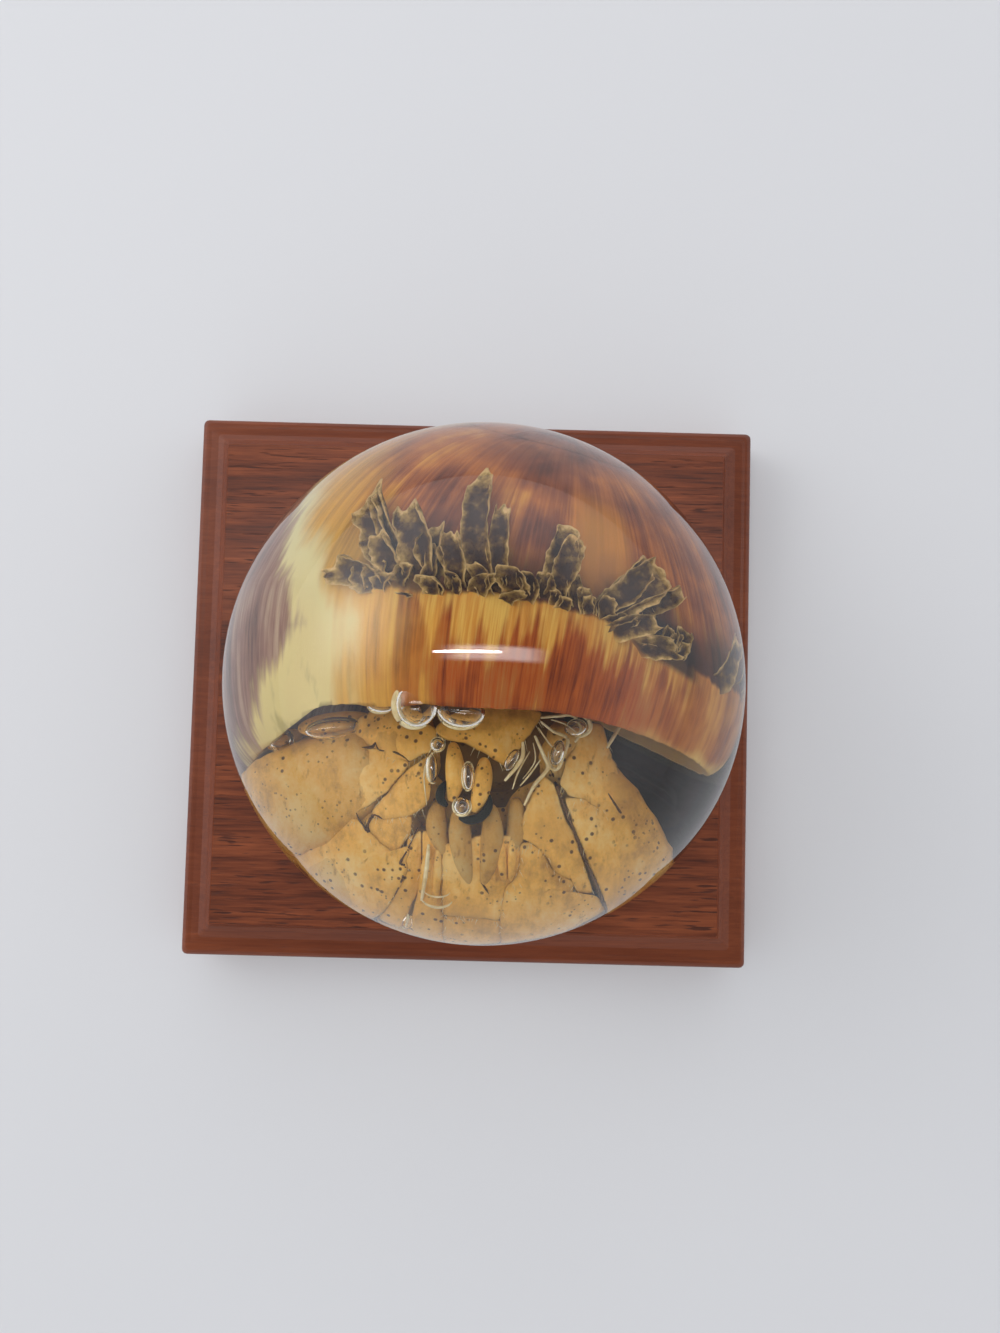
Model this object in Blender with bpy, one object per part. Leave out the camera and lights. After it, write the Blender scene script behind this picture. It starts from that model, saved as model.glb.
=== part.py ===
"""Hermit crab cast in a clear resin ball on a moulded wooden plinth.

A square plinth with a raised panel carries a ball of clear resin, cut flat
at its foot and glued a little right of the middle on a thin black disc. The
ball holds a dried hermit crab in its spiny shell. The ball is parted at its
equator and hollowed, so that shell and crab lie in a sealed pocket.

Metres, +Z up. The origin is the middle of the plinth's underside. +Y is the
side that the shell's spire points to, and the crab faces -Y.
"""

import math

import bmesh
import bpy
from mathutils import Matrix, Vector

MM = 0.001

# Plinth
PLINTH_WIDTH = 127.0 * MM
PLINTH_DEPTH = 122.3 * MM
PLINTH_HEIGHT = 18.0 * MM
FOOT_CHAMFER = 0.4 * MM
EDGE_ROUND = 1.6 * MM
LIP_WIDTH = 0.7 * MM
COVE_RADIUS = 5.4 * MM
PANEL_SHIFT = 0.5 * MM
CORNER_RADIUS = 1.2 * MM
# The corners get this much sharper on the way in to the panel
CORNER_SHARPENING = 0.6
CORNER_STEPS = 3
ARC_STEPS = 5
SHARP_ANGLE = math.radians(40.0)

# Resin ball, the black disc under it and the pocket in it
TOUCH_GAP = 0.3 * MM
BALL_RADIUS = 48.5 * MM
BALL_X = 3.7 * MM
BALL_Y = 0.4 * MM
DISC_THICKNESS = 0.6 * MM
DISC_BOTTOM = PLINTH_HEIGHT + TOUCH_GAP
BALL_FOOT_Z = DISC_BOTTOM + DISC_THICKNESS + TOUCH_GAP
BALL_CUT = 29.8 * MM
BALL_CENTRE = Vector((BALL_X, BALL_Y, BALL_FOOT_Z + BALL_CUT))
FOOT_RADIUS = math.sqrt(BALL_RADIUS ** 2 - BALL_CUT ** 2)
DISC_MARGIN = 0.6 * MM
DISC_RADIUS = FOOT_RADIUS - DISC_MARGIN
POCKET_RADIUS = 45.0 * MM
POCKET_FLOOR = -28.6 * MM
BALL_SIDES = 40
BALL_RINGS = 8
# Height of the last ring below each pole, as a share of the radius
NEAR_POLE = 0.985

# Shell: a low-spired spiral about an axis that points along +Y. Lengths are
# millimetres from the ball's centre until the mesh is placed.
SHELL_AXIS_X = 7.0
SHELL_AXIS_Z = -3.6
APEX_Y = 38.0
SHELL_TURN = -8.0
TURN_CENTRE = (3.0, 12.0)
WHORL_GROWTH = 1.6
LIP_ANGLE = 200.0
LIP_CLOSING = 35.0
CROWN_ANGLE = 90.0
SHELL_SIDES = 48
# Whorl outline: distance from the apex along the axis, and radius
WHORL_OUTLINE = (
    (4.6, 10.6), (5.2, 13.6), (7.0, 17.4), (10.0, 21.2), (14.0, 24.4), (19.0, 27.2), (24.0, 29.2),
    (26.0, 29.9), (30.0, 29.8), (34.0, 29.2), (38.0, 28.3), (42.0, 26.8), (45.5, 23.4), (48.0, 17.5),
    (49.6, 9.0),
)
# The spire's whorls show only this much of the outline, above the next suture
SPIRE_OUTLINE = WHORL_OUTLINE[:3]
BASE_DEPTH = 50.2
SPIRE_WHORLS = 3
# How far the two flanks sag towards the crab, per square millimetre
RIGHT_SAG = 0.0125
LEFT_SAG = 0.004
RIGHT_SAG_FROM = 5.0
LEFT_SAG_FROM = -8.0

# Mouth of the shell: stations along -Y as y, middle x and z, half width and
# half height of the hollow
MOUTH_STATIONS = (
    (18.0, 3.0, -2.0, 6.0, 5.0), (14.0, 3.0, -1.0, 15.0, 12.0), (7.0, 2.8, 1.0, 22.5, 17.5),
    (0.0, 2.4, 2.0, 25.6, 19.5), (-4.2, 2.0, 2.5, 27.6, 20.5), (-9.0, 2.0, 6.0, 36.0, 27.0),
    (-22.0, 2.0, 8.0, 44.0, 34.0),
)
MOUTH_SIDES = 36

# Crown of scales on the whorl's shoulder: angle round the axis, length
# towards the spire, and how far the tip leans sideways
CROWN = (
    (152.0, 6.0, -1.5), (141.0, 14.0, -1.0), (127.0, 15.0, -0.5), (114.0, 9.0, -0.5), (102.0, 15.0, 0.0),
    (91.0, 7.0, 0.5), (80.0, 10.0, 1.0), (68.0, 9.0, 2.0), (56.0, 11.0, 2.5), (43.0, 12.0, 2.5),
    (27.0, 11.0, 2.0), (8.0, 9.0, 1.5),
)
SCALE_ROOT = 27.5
# Along each scale: share of its length, rise above the whorl, half width
# and half height
SCALE_PATH = (
    (0.0, -0.3, 1.2, 1.2), (0.15, 1.3, 1.7, 2.0), (0.6, 2.5, 1.6, 2.3), (1.0, 2.7, 0.8, 1.0),
)
SCALE_SIDES = 6

# The crab's overlapping shapes are joined at this grain, and this share of
# the faces is kept
CRAB_VOXEL = 0.55 * MM
CRAB_KEEP = 0.037

# Shield, chest and abdomen: middle, radii and tilt about X
CRAB_BODY = (
    ((0.5, -6.0, 6.0), (9.0, 8.5, 5.0), 14.0),
    ((0.5, -9.0, -1.0), (11.0, 9.0, 8.0), 0.0),
    ((1.5, 2.5, 0.0), (11.0, 11.0, 9.0), 0.0),
)
BODY_SIDES = 16
BODY_RINGS = 10

# A limb steeper than this is laid out from the front instead of from above
STEEP = 0.8
FRONT = (0.0, -1.0, 0.3)
ABOVE = (0.0, 0.0, 1.0)
SEGMENT_SIDES = 12
SEGMENT_STATIONS = 7
END_SHARE = 0.06
END_BLUNTNESS = 0.3
LIMB_SQUARENESS = 0.8


def clear_scene():
    for item in list(bpy.data.objects):
        bpy.data.objects.remove(item, do_unlink=True)


def make_material(name, colour, roughness, metallic=0.0, transmission=0.0, ior=1.5):
    material = bpy.data.materials.new(name)
    material.use_nodes = True
    shader = material.node_tree.nodes["Principled BSDF"]
    shader.inputs["Base Color"].default_value = (*colour, 1.0)
    shader.inputs["Roughness"].default_value = roughness
    shader.inputs["Metallic"].default_value = metallic
    shader.inputs["Transmission Weight"].default_value = transmission
    shader.inputs["IOR"].default_value = ior
    return material


def add_object(name, mesh, material):
    item = bpy.data.objects.new(name, mesh)
    bpy.context.scene.collection.objects.link(item)
    mesh.materials.append(material)
    mesh.shade_smooth()
    return item


def loft(mesh, rings, first_pole=None, last_pole=None):
    """Skin closed rings in order, and close each end on its pole or its ring's middle."""
    loops = [[mesh.verts.new(point) for point in ring] for ring in rings]
    for near, far in zip(loops, loops[1:]):
        for i in range(len(near)):
            j = (i + 1) % len(near)
            mesh.faces.new((near[i], near[j], far[j], far[i]))
    for loop, ring, pole in ((loops[0], rings[0], first_pole), (loops[-1], rings[-1], last_pole)):
        middle = mesh.verts.new(pole or sum(ring, Vector()) / len(ring))
        for i in range(len(loop)):
            mesh.faces.new((loop[i], loop[(i + 1) % len(loop)], middle))
    return loops


def finish_mesh(name, mesh):
    bmesh.ops.recalc_face_normals(mesh, faces=mesh.faces)
    data = bpy.data.meshes.new(name)
    mesh.to_mesh(data)
    mesh.free()
    return data


def rounded_rectangle(half_width, half_depth, centre_y, height, radius):
    """One level of the plinth, with its four corners rounded."""
    ring = []
    for quarter, (sx, sy) in enumerate(((1, 1), (-1, 1), (-1, -1), (1, -1))):
        corner = Vector((sx * (half_width - radius), centre_y + sy * (half_depth - radius), height))
        for step in range(CORNER_STEPS + 1):
            angle = math.radians(90.0) * (quarter + step / CORNER_STEPS)
            ring.append(corner + Vector((math.cos(angle), math.sin(angle), 0.0)) * radius)
    return ring


def plinth_profile():
    """Inset from the plinth's edge and height, from the underside to the panel."""
    lip_height = PLINTH_HEIGHT - COVE_RADIUS
    profile = [(FOOT_CHAMFER, 0.0), (0.0, FOOT_CHAMFER)]
    for step in range(ARC_STEPS + 1):
        angle = math.radians(90.0) * step / ARC_STEPS
        inset = EDGE_ROUND * (1.0 - math.cos(angle))
        profile.append((inset, lip_height - EDGE_ROUND * (1.0 - math.sin(angle))))
    cove_start = EDGE_ROUND + LIP_WIDTH
    for step in range(ARC_STEPS + 1):
        angle = math.radians(90.0) * step / ARC_STEPS
        inset = cove_start + COVE_RADIUS * math.sin(angle)
        profile.append((inset, PLINTH_HEIGHT - COVE_RADIUS * math.cos(angle)))
    return profile


def build_plinth():
    mesh = bmesh.new()
    border = EDGE_ROUND + LIP_WIDTH + COVE_RADIUS
    rings = []
    for inset, height in plinth_profile():
        share = inset / border
        radius = CORNER_RADIUS * (1.0 - CORNER_SHARPENING * share)
        rings.append(rounded_rectangle(PLINTH_WIDTH / 2 - inset, PLINTH_DEPTH / 2 - inset,
                                       PANEL_SHIFT * share, height, radius))
    loft(mesh, rings)
    wood = make_material("mahogany", (0.16, 0.045, 0.022), 0.45)
    plinth = add_object("plinth", finish_mesh("plinth", mesh), wood)
    plinth.data.set_sharp_from_angle(angle=SHARP_ANGLE)


def circle(radius, height, sides=BALL_SIDES):
    turn = 2.0 * math.pi / sides
    return [Vector((radius * math.cos(turn * i), radius * math.sin(turn * i), height)) for i in range(sides)]


def sphere_rings(radius, low, high):
    """Level circles of a sphere between two heights, evenly spaced in angle."""
    start = math.asin(low / radius)
    end = math.asin(high / radius)
    angles = [start + (end - start) * i / BALL_RINGS for i in range(BALL_RINGS + 1)]
    return [circle(radius * math.cos(angle), radius * math.sin(angle)) for angle in angles]


def build_resin(material):
    """Two halves of the cut ball, hollowed by a pocket with a flat floor."""
    half_gap = TOUCH_GAP / 2
    outer = sphere_rings(BALL_RADIUS, half_gap, BALL_RADIUS * NEAR_POLE)
    inner = sphere_rings(POCKET_RADIUS, half_gap, POCKET_RADIUS * NEAR_POLE)
    mesh = bmesh.new()
    loft(mesh, list(reversed(outer)) + inner, Vector((0, 0, BALL_RADIUS)), Vector((0, 0, POCKET_RADIUS)))
    upper = add_object("resin_upper", finish_mesh("resin_upper", mesh), material)
    outer = sphere_rings(BALL_RADIUS, -BALL_CUT, -half_gap)
    inner = sphere_rings(POCKET_RADIUS, POCKET_FLOOR, -half_gap)
    mesh = bmesh.new()
    loft(mesh, outer + list(reversed(inner)), Vector((0, 0, -BALL_CUT)), Vector((0, 0, POCKET_FLOOR)))
    lower = add_object("resin_lower", finish_mesh("resin_lower", mesh), material)
    for half in (upper, lower):
        half.location = BALL_CENTRE
        half.data.set_sharp_from_angle(angle=SHARP_ANGLE)


def build_disc():
    mesh = bmesh.new()
    loft(mesh, [circle(DISC_RADIUS, 0.0), circle(DISC_RADIUS, DISC_THICKNESS)])
    disc = add_object("backing_disc", finish_mesh("backing_disc", mesh),
                      make_material("black_card", (0.012, 0.012, 0.013), 0.7))
    disc.location = (BALL_X, BALL_Y, DISC_BOTTOM)
    disc.data.set_sharp_from_angle(angle=SHARP_ANGLE)


def whorl_size(angle):
    """Size of the whorl at an angle round the axis, 1 over the crown of the back."""
    lowest = LIP_ANGLE + LIP_CLOSING - 360.0
    size = WHORL_GROWTH ** ((min(angle, LIP_ANGLE) - CROWN_ANGLE) / 360.0)
    if angle > LIP_ANGLE:
        share = (angle - LIP_ANGLE) / LIP_CLOSING
        small = WHORL_GROWTH ** ((lowest - CROWN_ANGLE) / 360.0)
        size += (small - size) * share
    return size


def shell_point(angle, along, radius):
    """Point at a distance from the apex and from the axis, with the flanks' sag."""
    turn = math.radians(angle)
    side = SHELL_AXIS_X + radius * math.cos(turn) - TURN_CENTRE[0]
    back = APEX_Y - along - TURN_CENTRE[1]
    lean = math.radians(SHELL_TURN)
    x = TURN_CENTRE[0] + side * math.cos(lean) - back * math.sin(lean)
    y = TURN_CENTRE[1] + side * math.sin(lean) + back * math.cos(lean)
    z = SHELL_AXIS_Z + radius * math.sin(turn)
    y -= RIGHT_SAG * max(0.0, x - RIGHT_SAG_FROM) ** 2
    y -= LEFT_SAG * max(0.0, LEFT_SAG_FROM - x) ** 2
    return Vector((x, y, z)) * MM


def outline_radius(along):
    """Radius of the whorl's outline at a distance from the apex."""
    for (a0, r0), (a1, r1) in zip(WHORL_OUTLINE, WHORL_OUTLINE[1:]):
        if along <= a1:
            return r0 + (r1 - r0) * (along - a0) / (a1 - a0)
    return WHORL_OUTLINE[-1][1]


def shell_body():
    """Closed skin of all whorls: the last one, then the spire's, up to the apex."""
    first_angle = LIP_ANGLE + LIP_CLOSING - 360.0
    angles = [first_angle + 360.0 * (i + 1) / SHELL_SIDES for i in range(SHELL_SIDES)]
    stations = [(0, along, radius) for along, radius in reversed(WHORL_OUTLINE)]
    for whorl in range(1, SPIRE_WHORLS + 1):
        for along, radius in reversed(SPIRE_OUTLINE):
            stations.append((whorl, along, radius))
    rings = []
    for whorl, along, radius in stations:
        ring = []
        for angle in angles:
            size = whorl_size(angle) / WHORL_GROWTH ** whorl
            ring.append(shell_point(angle, along * size, radius * size))
        rings.append(ring)
    mesh = bmesh.new()
    loft(mesh, rings, shell_point(0.0, BASE_DEPTH, 0.0), shell_point(0.0, 0.0, 0.0))
    return finish_mesh("shell_body", mesh)


def mouth_cutter():
    """Trumpet that hollows the last whorl and opens it towards the crab."""
    rings = []
    for y, x, z, half_width, half_height in MOUTH_STATIONS:
        ring = []
        for i in range(MOUTH_SIDES):
            turn = 2.0 * math.pi * i / MOUTH_SIDES
            px = x + half_width * math.cos(turn)
            sag = RIGHT_SAG * max(0.0, px - RIGHT_SAG_FROM) ** 2 + LEFT_SAG * max(0.0, LEFT_SAG_FROM - px) ** 2
            ring.append(Vector((px, y - sag, z + half_height * math.sin(turn))) * MM)
        rings.append(ring)
    mesh = bmesh.new()
    loft(mesh, rings)
    return finish_mesh("mouth_cutter", mesh)


def crown_scales():
    """Curved leaves that stand on the shoulder and lie back towards the spire."""
    mesh = bmesh.new()
    for angle, length, lean in CROWN:
        size = whorl_size(angle)
        turn = math.radians(angle)
        outward = Vector((math.cos(turn), 0.0, math.sin(turn)))
        sideways = Vector((math.sin(turn), 0.0, -math.cos(turn)))
        rings = []
        for share, rise, half_width, half_height in SCALE_PATH:
            along = SCALE_ROOT * size - length * share
            middle = shell_point(angle, along, outline_radius(along / size) * size)
            middle += (outward * rise + sideways * lean * share) * MM
            ring = []
            for i in range(SCALE_SIDES):
                step = 2.0 * math.pi * i / SCALE_SIDES
                ring.append(middle + sideways * half_width * MM * math.cos(step)
                            + outward * half_height * MM * math.sin(step))
            rings.append(ring)
        loft(mesh, rings)
    return finish_mesh("crown_scales", mesh)


def add_guide(name, mesh):
    """A helper solid for a Boolean, kept out of the finished part."""
    guide = bpy.data.objects.new(name, mesh)
    bpy.context.scene.collection.objects.link(guide)
    guide.hide_render = True
    guide.display_type = "WIRE"
    guide.location = BALL_CENTRE
    return guide


def build_shell():
    material = make_material("turban_shell", (0.42, 0.20, 0.07), 0.35)
    shell = add_object("shell", shell_body(), material)
    shell.location = BALL_CENTRE
    cutter = add_guide("mouth_cutter", mouth_cutter())
    crown = add_guide("crown_guide", crown_scales())
    for name, operation, operand in (("mouth", "DIFFERENCE", cutter), ("crown", "UNION", crown)):
        modifier = shell.modifiers.new(name, "BOOLEAN")
        modifier.operation = operation
        modifier.solver = "EXACT"
        modifier.object = operand


def squared(value, power):
    """Sine or cosine bent towards a squarer outline."""
    return math.copysign(abs(value) ** power, value)


def segment(mesh, start, end, start_size, end_size, up):
    """A limb's segment: a blunt loft between two joints, sizes as width and thickness."""
    start = Vector(start)
    end = Vector(end)
    along = (end - start).normalized()
    side = along.cross(Vector(up)).normalized()
    above = side.cross(along).normalized()
    rings = []
    for step in range(SEGMENT_STATIONS):
        share = step / (SEGMENT_STATIONS - 1)
        # Stations crowd towards the ends, where the segment closes
        turn = math.pi * (END_SHARE + (1.0 - 2.0 * END_SHARE) * share)
        closing = math.sin(turn) ** END_BLUNTNESS
        middle = start + (end - start) * (0.5 - 0.5 * math.cos(turn))
        width = (start_size[0] + (end_size[0] - start_size[0]) * share) / 2 * closing
        thick = (start_size[1] + (end_size[1] - start_size[1]) * share) / 2 * closing
        ring = []
        for i in range(SEGMENT_SIDES):
            angle = 2.0 * math.pi * i / SEGMENT_SIDES
            offset = side * width * squared(math.cos(angle), LIMB_SQUARENESS)
            offset += above * thick * squared(math.sin(angle), LIMB_SQUARENESS)
            ring.append((middle + offset) * MM)
        rings.append(ring)
    loft(mesh, rings, start * MM, end * MM)


# Limbs: each a list of joints with the limb's width and thickness there, in
# millimetres from the ball's centre, from the body outwards
GREAT_CLAW = (((-5.0, -6.5, 5.5), 8.5, 6.5), ((-12.5, -10.5, 6.0), 11.0, 8.0),
              ((-28.0, -17.5, -3.5), 15.5, 10.0))
GREAT_CLAW_FINGERS = (
    (((-27.5, -15.5, -4.5), 7.0, 7.0), ((-29.5, -20.0, -14.0), 6.0, 6.0), ((-24.5, -24.0, -22.0), 2.4, 2.4)),
    (((-24.5, -20.5, -5.0), 7.0, 6.5), ((-24.5, -25.0, -14.0), 5.5, 5.5), ((-21.5, -26.0, -21.5), 2.2, 2.2)),
)
SMALL_CLAW = (((7.5, -6.5, 5.5), 7.0, 6.0), ((12.5, -11.0, 6.0), 9.0, 7.0), ((21.5, -26.0, -3.0), 13.5, 8.5))
SMALL_CLAW_FINGERS = (
    (((22.5, -24.5, -3.5), 6.0, 6.0), ((25.5, -26.0, -13.0), 4.8, 5.0), ((22.0, -26.5, -21.0), 2.2, 2.2)),
    (((18.5, -27.5, -4.0), 6.0, 6.0), ((19.5, -30.0, -13.0), 4.6, 5.0), ((17.5, -29.0, -20.5), 2.0, 2.0)),
)
WALKING_LEGS = (
    (((-6.0, -10.5, 3.0), 7.0, 6.0), ((-10.0, -15.5, 4.5), 9.0, 6.5), ((-19.0, -28.0, -3.5), 11.5, 7.5),
     ((-18.0, -31.0, -15.5), 7.5, 6.5), ((-13.5, -27.0, -26.5), 2.2, 2.2)),
    (((-4.0, -13.0, 1.5), 6.5, 5.5), ((-6.0, -18.5, 3.0), 8.5, 6.5), ((-9.5, -33.0, -4.0), 10.0, 7.0),
     ((-9.0, -35.0, -15.0), 7.0, 6.0), ((-6.0, -29.5, -26.5), 2.2, 2.2)),
    (((1.5, -13.5, 1.0), 6.5, 5.5), ((1.0, -19.0, 2.5), 8.0, 6.5), ((1.0, -34.0, -4.5), 10.5, 7.0),
     ((1.0, -36.0, -15.5), 7.0, 6.0), ((1.0, -30.0, -26.5), 2.2, 2.2)),
    (((6.0, -11.5, 2.5), 6.5, 5.5), ((7.0, -17.5, 4.0), 8.0, 6.5), ((11.0, -32.0, -3.5), 10.5, 7.0),
     ((11.0, -34.0, -15.0), 7.0, 6.0), ((8.5, -29.0, -26.5), 2.2, 2.2)),
)
EYESTALKS = (
    (((-3.8, -8.5, 9.5), 2.2, 2.2), ((-4.6, -13.5, 9.6), 2.2, 2.2), ((-4.3, -16.6, 8.2), 1.8, 2.2)),
    (((0.8, -9.5, 9.5), 2.2, 2.2), ((1.3, -14.5, 9.6), 2.2, 2.2), ((0.4, -17.6, 8.2), 1.8, 2.2)),
)
FEELERS = (
    (((-7.0, -10.5, 6.0), 3.0, 3.0), ((-8.5, -15.5, 5.5), 2.2, 2.2), ((-9.0, -20.5, 4.0), 1.5, 1.5)),
    (((5.0, -10.5, 6.0), 3.0, 3.0), ((7.0, -15.0, 5.5), 2.2, 2.2), ((8.0, -20.0, 4.0), 1.5, 1.5)),
)
MOUTHPARTS = (
    (((-2.8, -14.0, 4.5), 3.2, 3.5), ((-3.0, -19.0, 3.5), 3.4, 3.5), ((-1.8, -22.5, 0.0), 2.2, 2.4)),
    (((1.2, -14.0, 4.5), 3.2, 3.5), ((1.8, -19.0, 3.5), 3.4, 3.5), ((0.6, -22.5, 0.0), 2.2, 2.4)),
)


def limb(mesh, joints):
    for (start, w0, t0), (end, w1, t1) in zip(joints, joints[1:]):
        steep = abs((Vector(end) - Vector(start)).normalized().z) > STEEP
        up = FRONT if steep else ABOVE
        segment(mesh, start, end, (w0, t0), (w1, t1), up)


def ellipsoid(mesh, middle, radii, tilt):
    place = Matrix.Translation(Vector(middle) * MM) @ Matrix.Rotation(math.radians(tilt), 4, "X")
    scale = Matrix.Diagonal((radii[0] * MM, radii[1] * MM, radii[2] * MM, 1.0))
    bmesh.ops.create_uvsphere(mesh, u_segments=BODY_SIDES, v_segments=BODY_RINGS, radius=1.0, matrix=place @ scale)


def build_crab():
    mesh = bmesh.new()
    for middle, radii, tilt in CRAB_BODY:
        ellipsoid(mesh, middle, radii, tilt)
    limb(mesh, GREAT_CLAW)
    limb(mesh, SMALL_CLAW)
    for group in (GREAT_CLAW_FINGERS, SMALL_CLAW_FINGERS, WALKING_LEGS, EYESTALKS, FEELERS, MOUTHPARTS):
        for joints in group:
            limb(mesh, joints)
    material = make_material("dried_crab", (0.56, 0.36, 0.13), 0.5)
    crab = add_object("hermit_crab", finish_mesh("hermit_crab", mesh), material)
    crab.location = BALL_CENTRE
    skin = crab.modifiers.new("one_skin", "REMESH")
    skin.mode = "VOXEL"
    skin.voxel_size = CRAB_VOXEL
    skin.use_smooth_shade = True
    fewer = crab.modifiers.new("fewer_faces", "DECIMATE")
    fewer.ratio = CRAB_KEEP


def main():
    clear_scene()
    build_plinth()
    build_disc()
    build_resin(make_material("clear_resin", (0.96, 0.95, 0.90), 0.02, transmission=1.0, ior=1.52))
    build_shell()
    build_crab()


main()
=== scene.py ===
"""Hermit crab in a clear resin ball on a moulded mahogany plinth.

The plinth and the black disc keep their solids and get their finish here.
The shell, the crab and the resin are modelled again in full detail, in the
space of their solids. Lengths inside the ball are millimetres from the ball's
centre until a mesh is made: x to the right, y towards the shell's spire, z up.
"""

import math

import bmesh
import bpy
from bpy.props import FloatProperty, FloatVectorProperty, IntProperty, PointerProperty
from mathutils import Matrix, Vector, noise
from mathutils.kdtree import KDTree


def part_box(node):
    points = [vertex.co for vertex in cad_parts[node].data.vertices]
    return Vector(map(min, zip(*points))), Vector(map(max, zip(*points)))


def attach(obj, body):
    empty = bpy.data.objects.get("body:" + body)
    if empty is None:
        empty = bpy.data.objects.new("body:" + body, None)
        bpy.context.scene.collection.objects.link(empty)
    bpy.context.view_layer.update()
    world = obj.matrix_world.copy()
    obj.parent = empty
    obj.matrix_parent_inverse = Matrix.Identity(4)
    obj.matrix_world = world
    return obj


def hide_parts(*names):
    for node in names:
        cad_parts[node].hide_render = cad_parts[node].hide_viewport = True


bl_info = {
    "name": "Hermit crab paperweight",
    "version": (1, 0, 0),
    "blender": (4, 5, 0),
    "location": "3D View > Sidebar > Paperweight",
    "description": "A hermit crab cast in a clear resin ball on a wooden plinth",
    "category": "Add Mesh",
}

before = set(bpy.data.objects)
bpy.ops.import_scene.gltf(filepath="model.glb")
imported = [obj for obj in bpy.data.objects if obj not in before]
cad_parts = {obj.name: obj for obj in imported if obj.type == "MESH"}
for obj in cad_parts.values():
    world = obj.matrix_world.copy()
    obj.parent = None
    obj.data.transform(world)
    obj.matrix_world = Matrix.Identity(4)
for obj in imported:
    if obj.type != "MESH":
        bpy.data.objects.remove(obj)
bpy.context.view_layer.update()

MM = 0.001
TAU = 2.0 * math.pi
PLINTH_LOW, PLINTH_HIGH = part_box("plinth")
UPPER_LOW, UPPER_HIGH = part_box("resin_upper")
BALL_RADIUS = (UPPER_HIGH.x - UPPER_LOW.x) / 2
BALL_CENTRE = Vector((
    (UPPER_LOW.x + UPPER_HIGH.x) / 2, (UPPER_LOW.y + UPPER_HIGH.y) / 2, UPPER_HIGH.z - BALL_RADIUS))
BALL_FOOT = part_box("resin_lower")[0].z
# The edge of the ball's foot is broken by a small chamfer
FOOT_CHAMFER = 0.35
# The raised panel of the plinth, inside its cove, and the width over which its open grain ends
COVE_WIDTH = 8.0 * MM
PANEL_HALF_X = (PLINTH_HIGH.x - PLINTH_LOW.x) / 2 - COVE_WIDTH
PANEL_HALF_Y = (PLINTH_HIGH.y - PLINTH_LOW.y) / 2 - COVE_WIDTH
PANEL_EDGE = 0.4 * MM
# Depth of the fine relief on shell and cuticle
FINE_RELIEF = 0.16 * MM
# Start of the bristles' random places
NOISE_SEED = 11
# Steps between each two points of a smooth course
COURSE_STEPS = 8

# Shell: the same low spiral as its solid, about an axis along +Y at this x and z.
# Angles are degrees round the axis, 0 on the right and 90 over the back
SHELL_AXIS = (7.0, -3.6)
APEX_Y = 38.0
# The shell is turned about an upright line through this x and y
SHELL_TURN = math.radians(-8.0)
TURN_CENTRE = (3.0, 12.0)
# Growth in one turn, the angle of the outer lip, and the stretch that closes the spiral behind it
WHORL_GROWTH = 1.6
LIP_ANGLE = 200.0
LIP_CLOSING = 35.0
FIRST_ANGLE = LIP_ANGLE + LIP_CLOSING - 360.0
# The outline is that of the last whorl at this angle
CROWN_ANGLE = 90.0
SPIRE_WHORLS = 3
# Distance from the apex to the base, for values from 0 to 1
BASE_DEPTH = 50.2
# Points round a whorl and round the mouth
SHELL_SIDES = 300
MOUTH_SIDES = 120
# Whorl outline: distance from the apex along the axis, and radius
WHORL_OUTLINE = (
    (4.6, 10.6), (5.2, 13.6), (7.0, 17.4), (10.0, 21.2), (14.0, 24.4), (19.0, 27.2), (24.0, 29.2),
    (26.0, 29.9), (30.0, 29.8), (34.0, 29.2), (38.0, 28.3), (42.0, 26.8), (45.5, 23.4), (48.0, 17.5),
    (49.6, 9.0),
)
# Points of the outline, from the apex, that the older whorls show
SPIRE_POINTS = 3
# The outer lip opens and closes again: start of each stretch, and its width
LIP_FLARE = 0.19
FLARE_OPENING = (150.0, 45.0)
FLARE_CLOSING = (205.0, 25.0)
# The margin drops at the left: how far, from which distance left of the middle, and over which width
LIP_DROP = 1.9
DROP_STRETCH = (8.0, 7.0)
# The whorl sags towards the crab at both sides, with the square of the way beyond an x
RIGHT_SAG = 0.0125
RIGHT_SAG_X = 5.0
LEFT_SAG = 0.004
LEFT_SAG_X = -8.0
# Height at which the bounds of the cream lip bend, from 0 at the apex to 1 at the base
LIP_BEND = 0.62
# Hollow of the mouth: y, middle x and z, half width and half height
MOUTH_STATIONS = (
    (18.0, 3.0, -2.0, 6.0, 5.0), (14.0, 3.0, -1.0, 15.0, 12.0), (7.0, 2.8, 1.0, 22.5, 17.5),
    (0.0, 2.4, 2.0, 25.6, 19.5), (-4.2, 2.0, 2.5, 27.6, 20.5), (-9.0, 2.0, 6.0, 36.0, 27.0),
    (-22.0, 2.0, 8.0, 44.0, 34.0),
)
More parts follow.
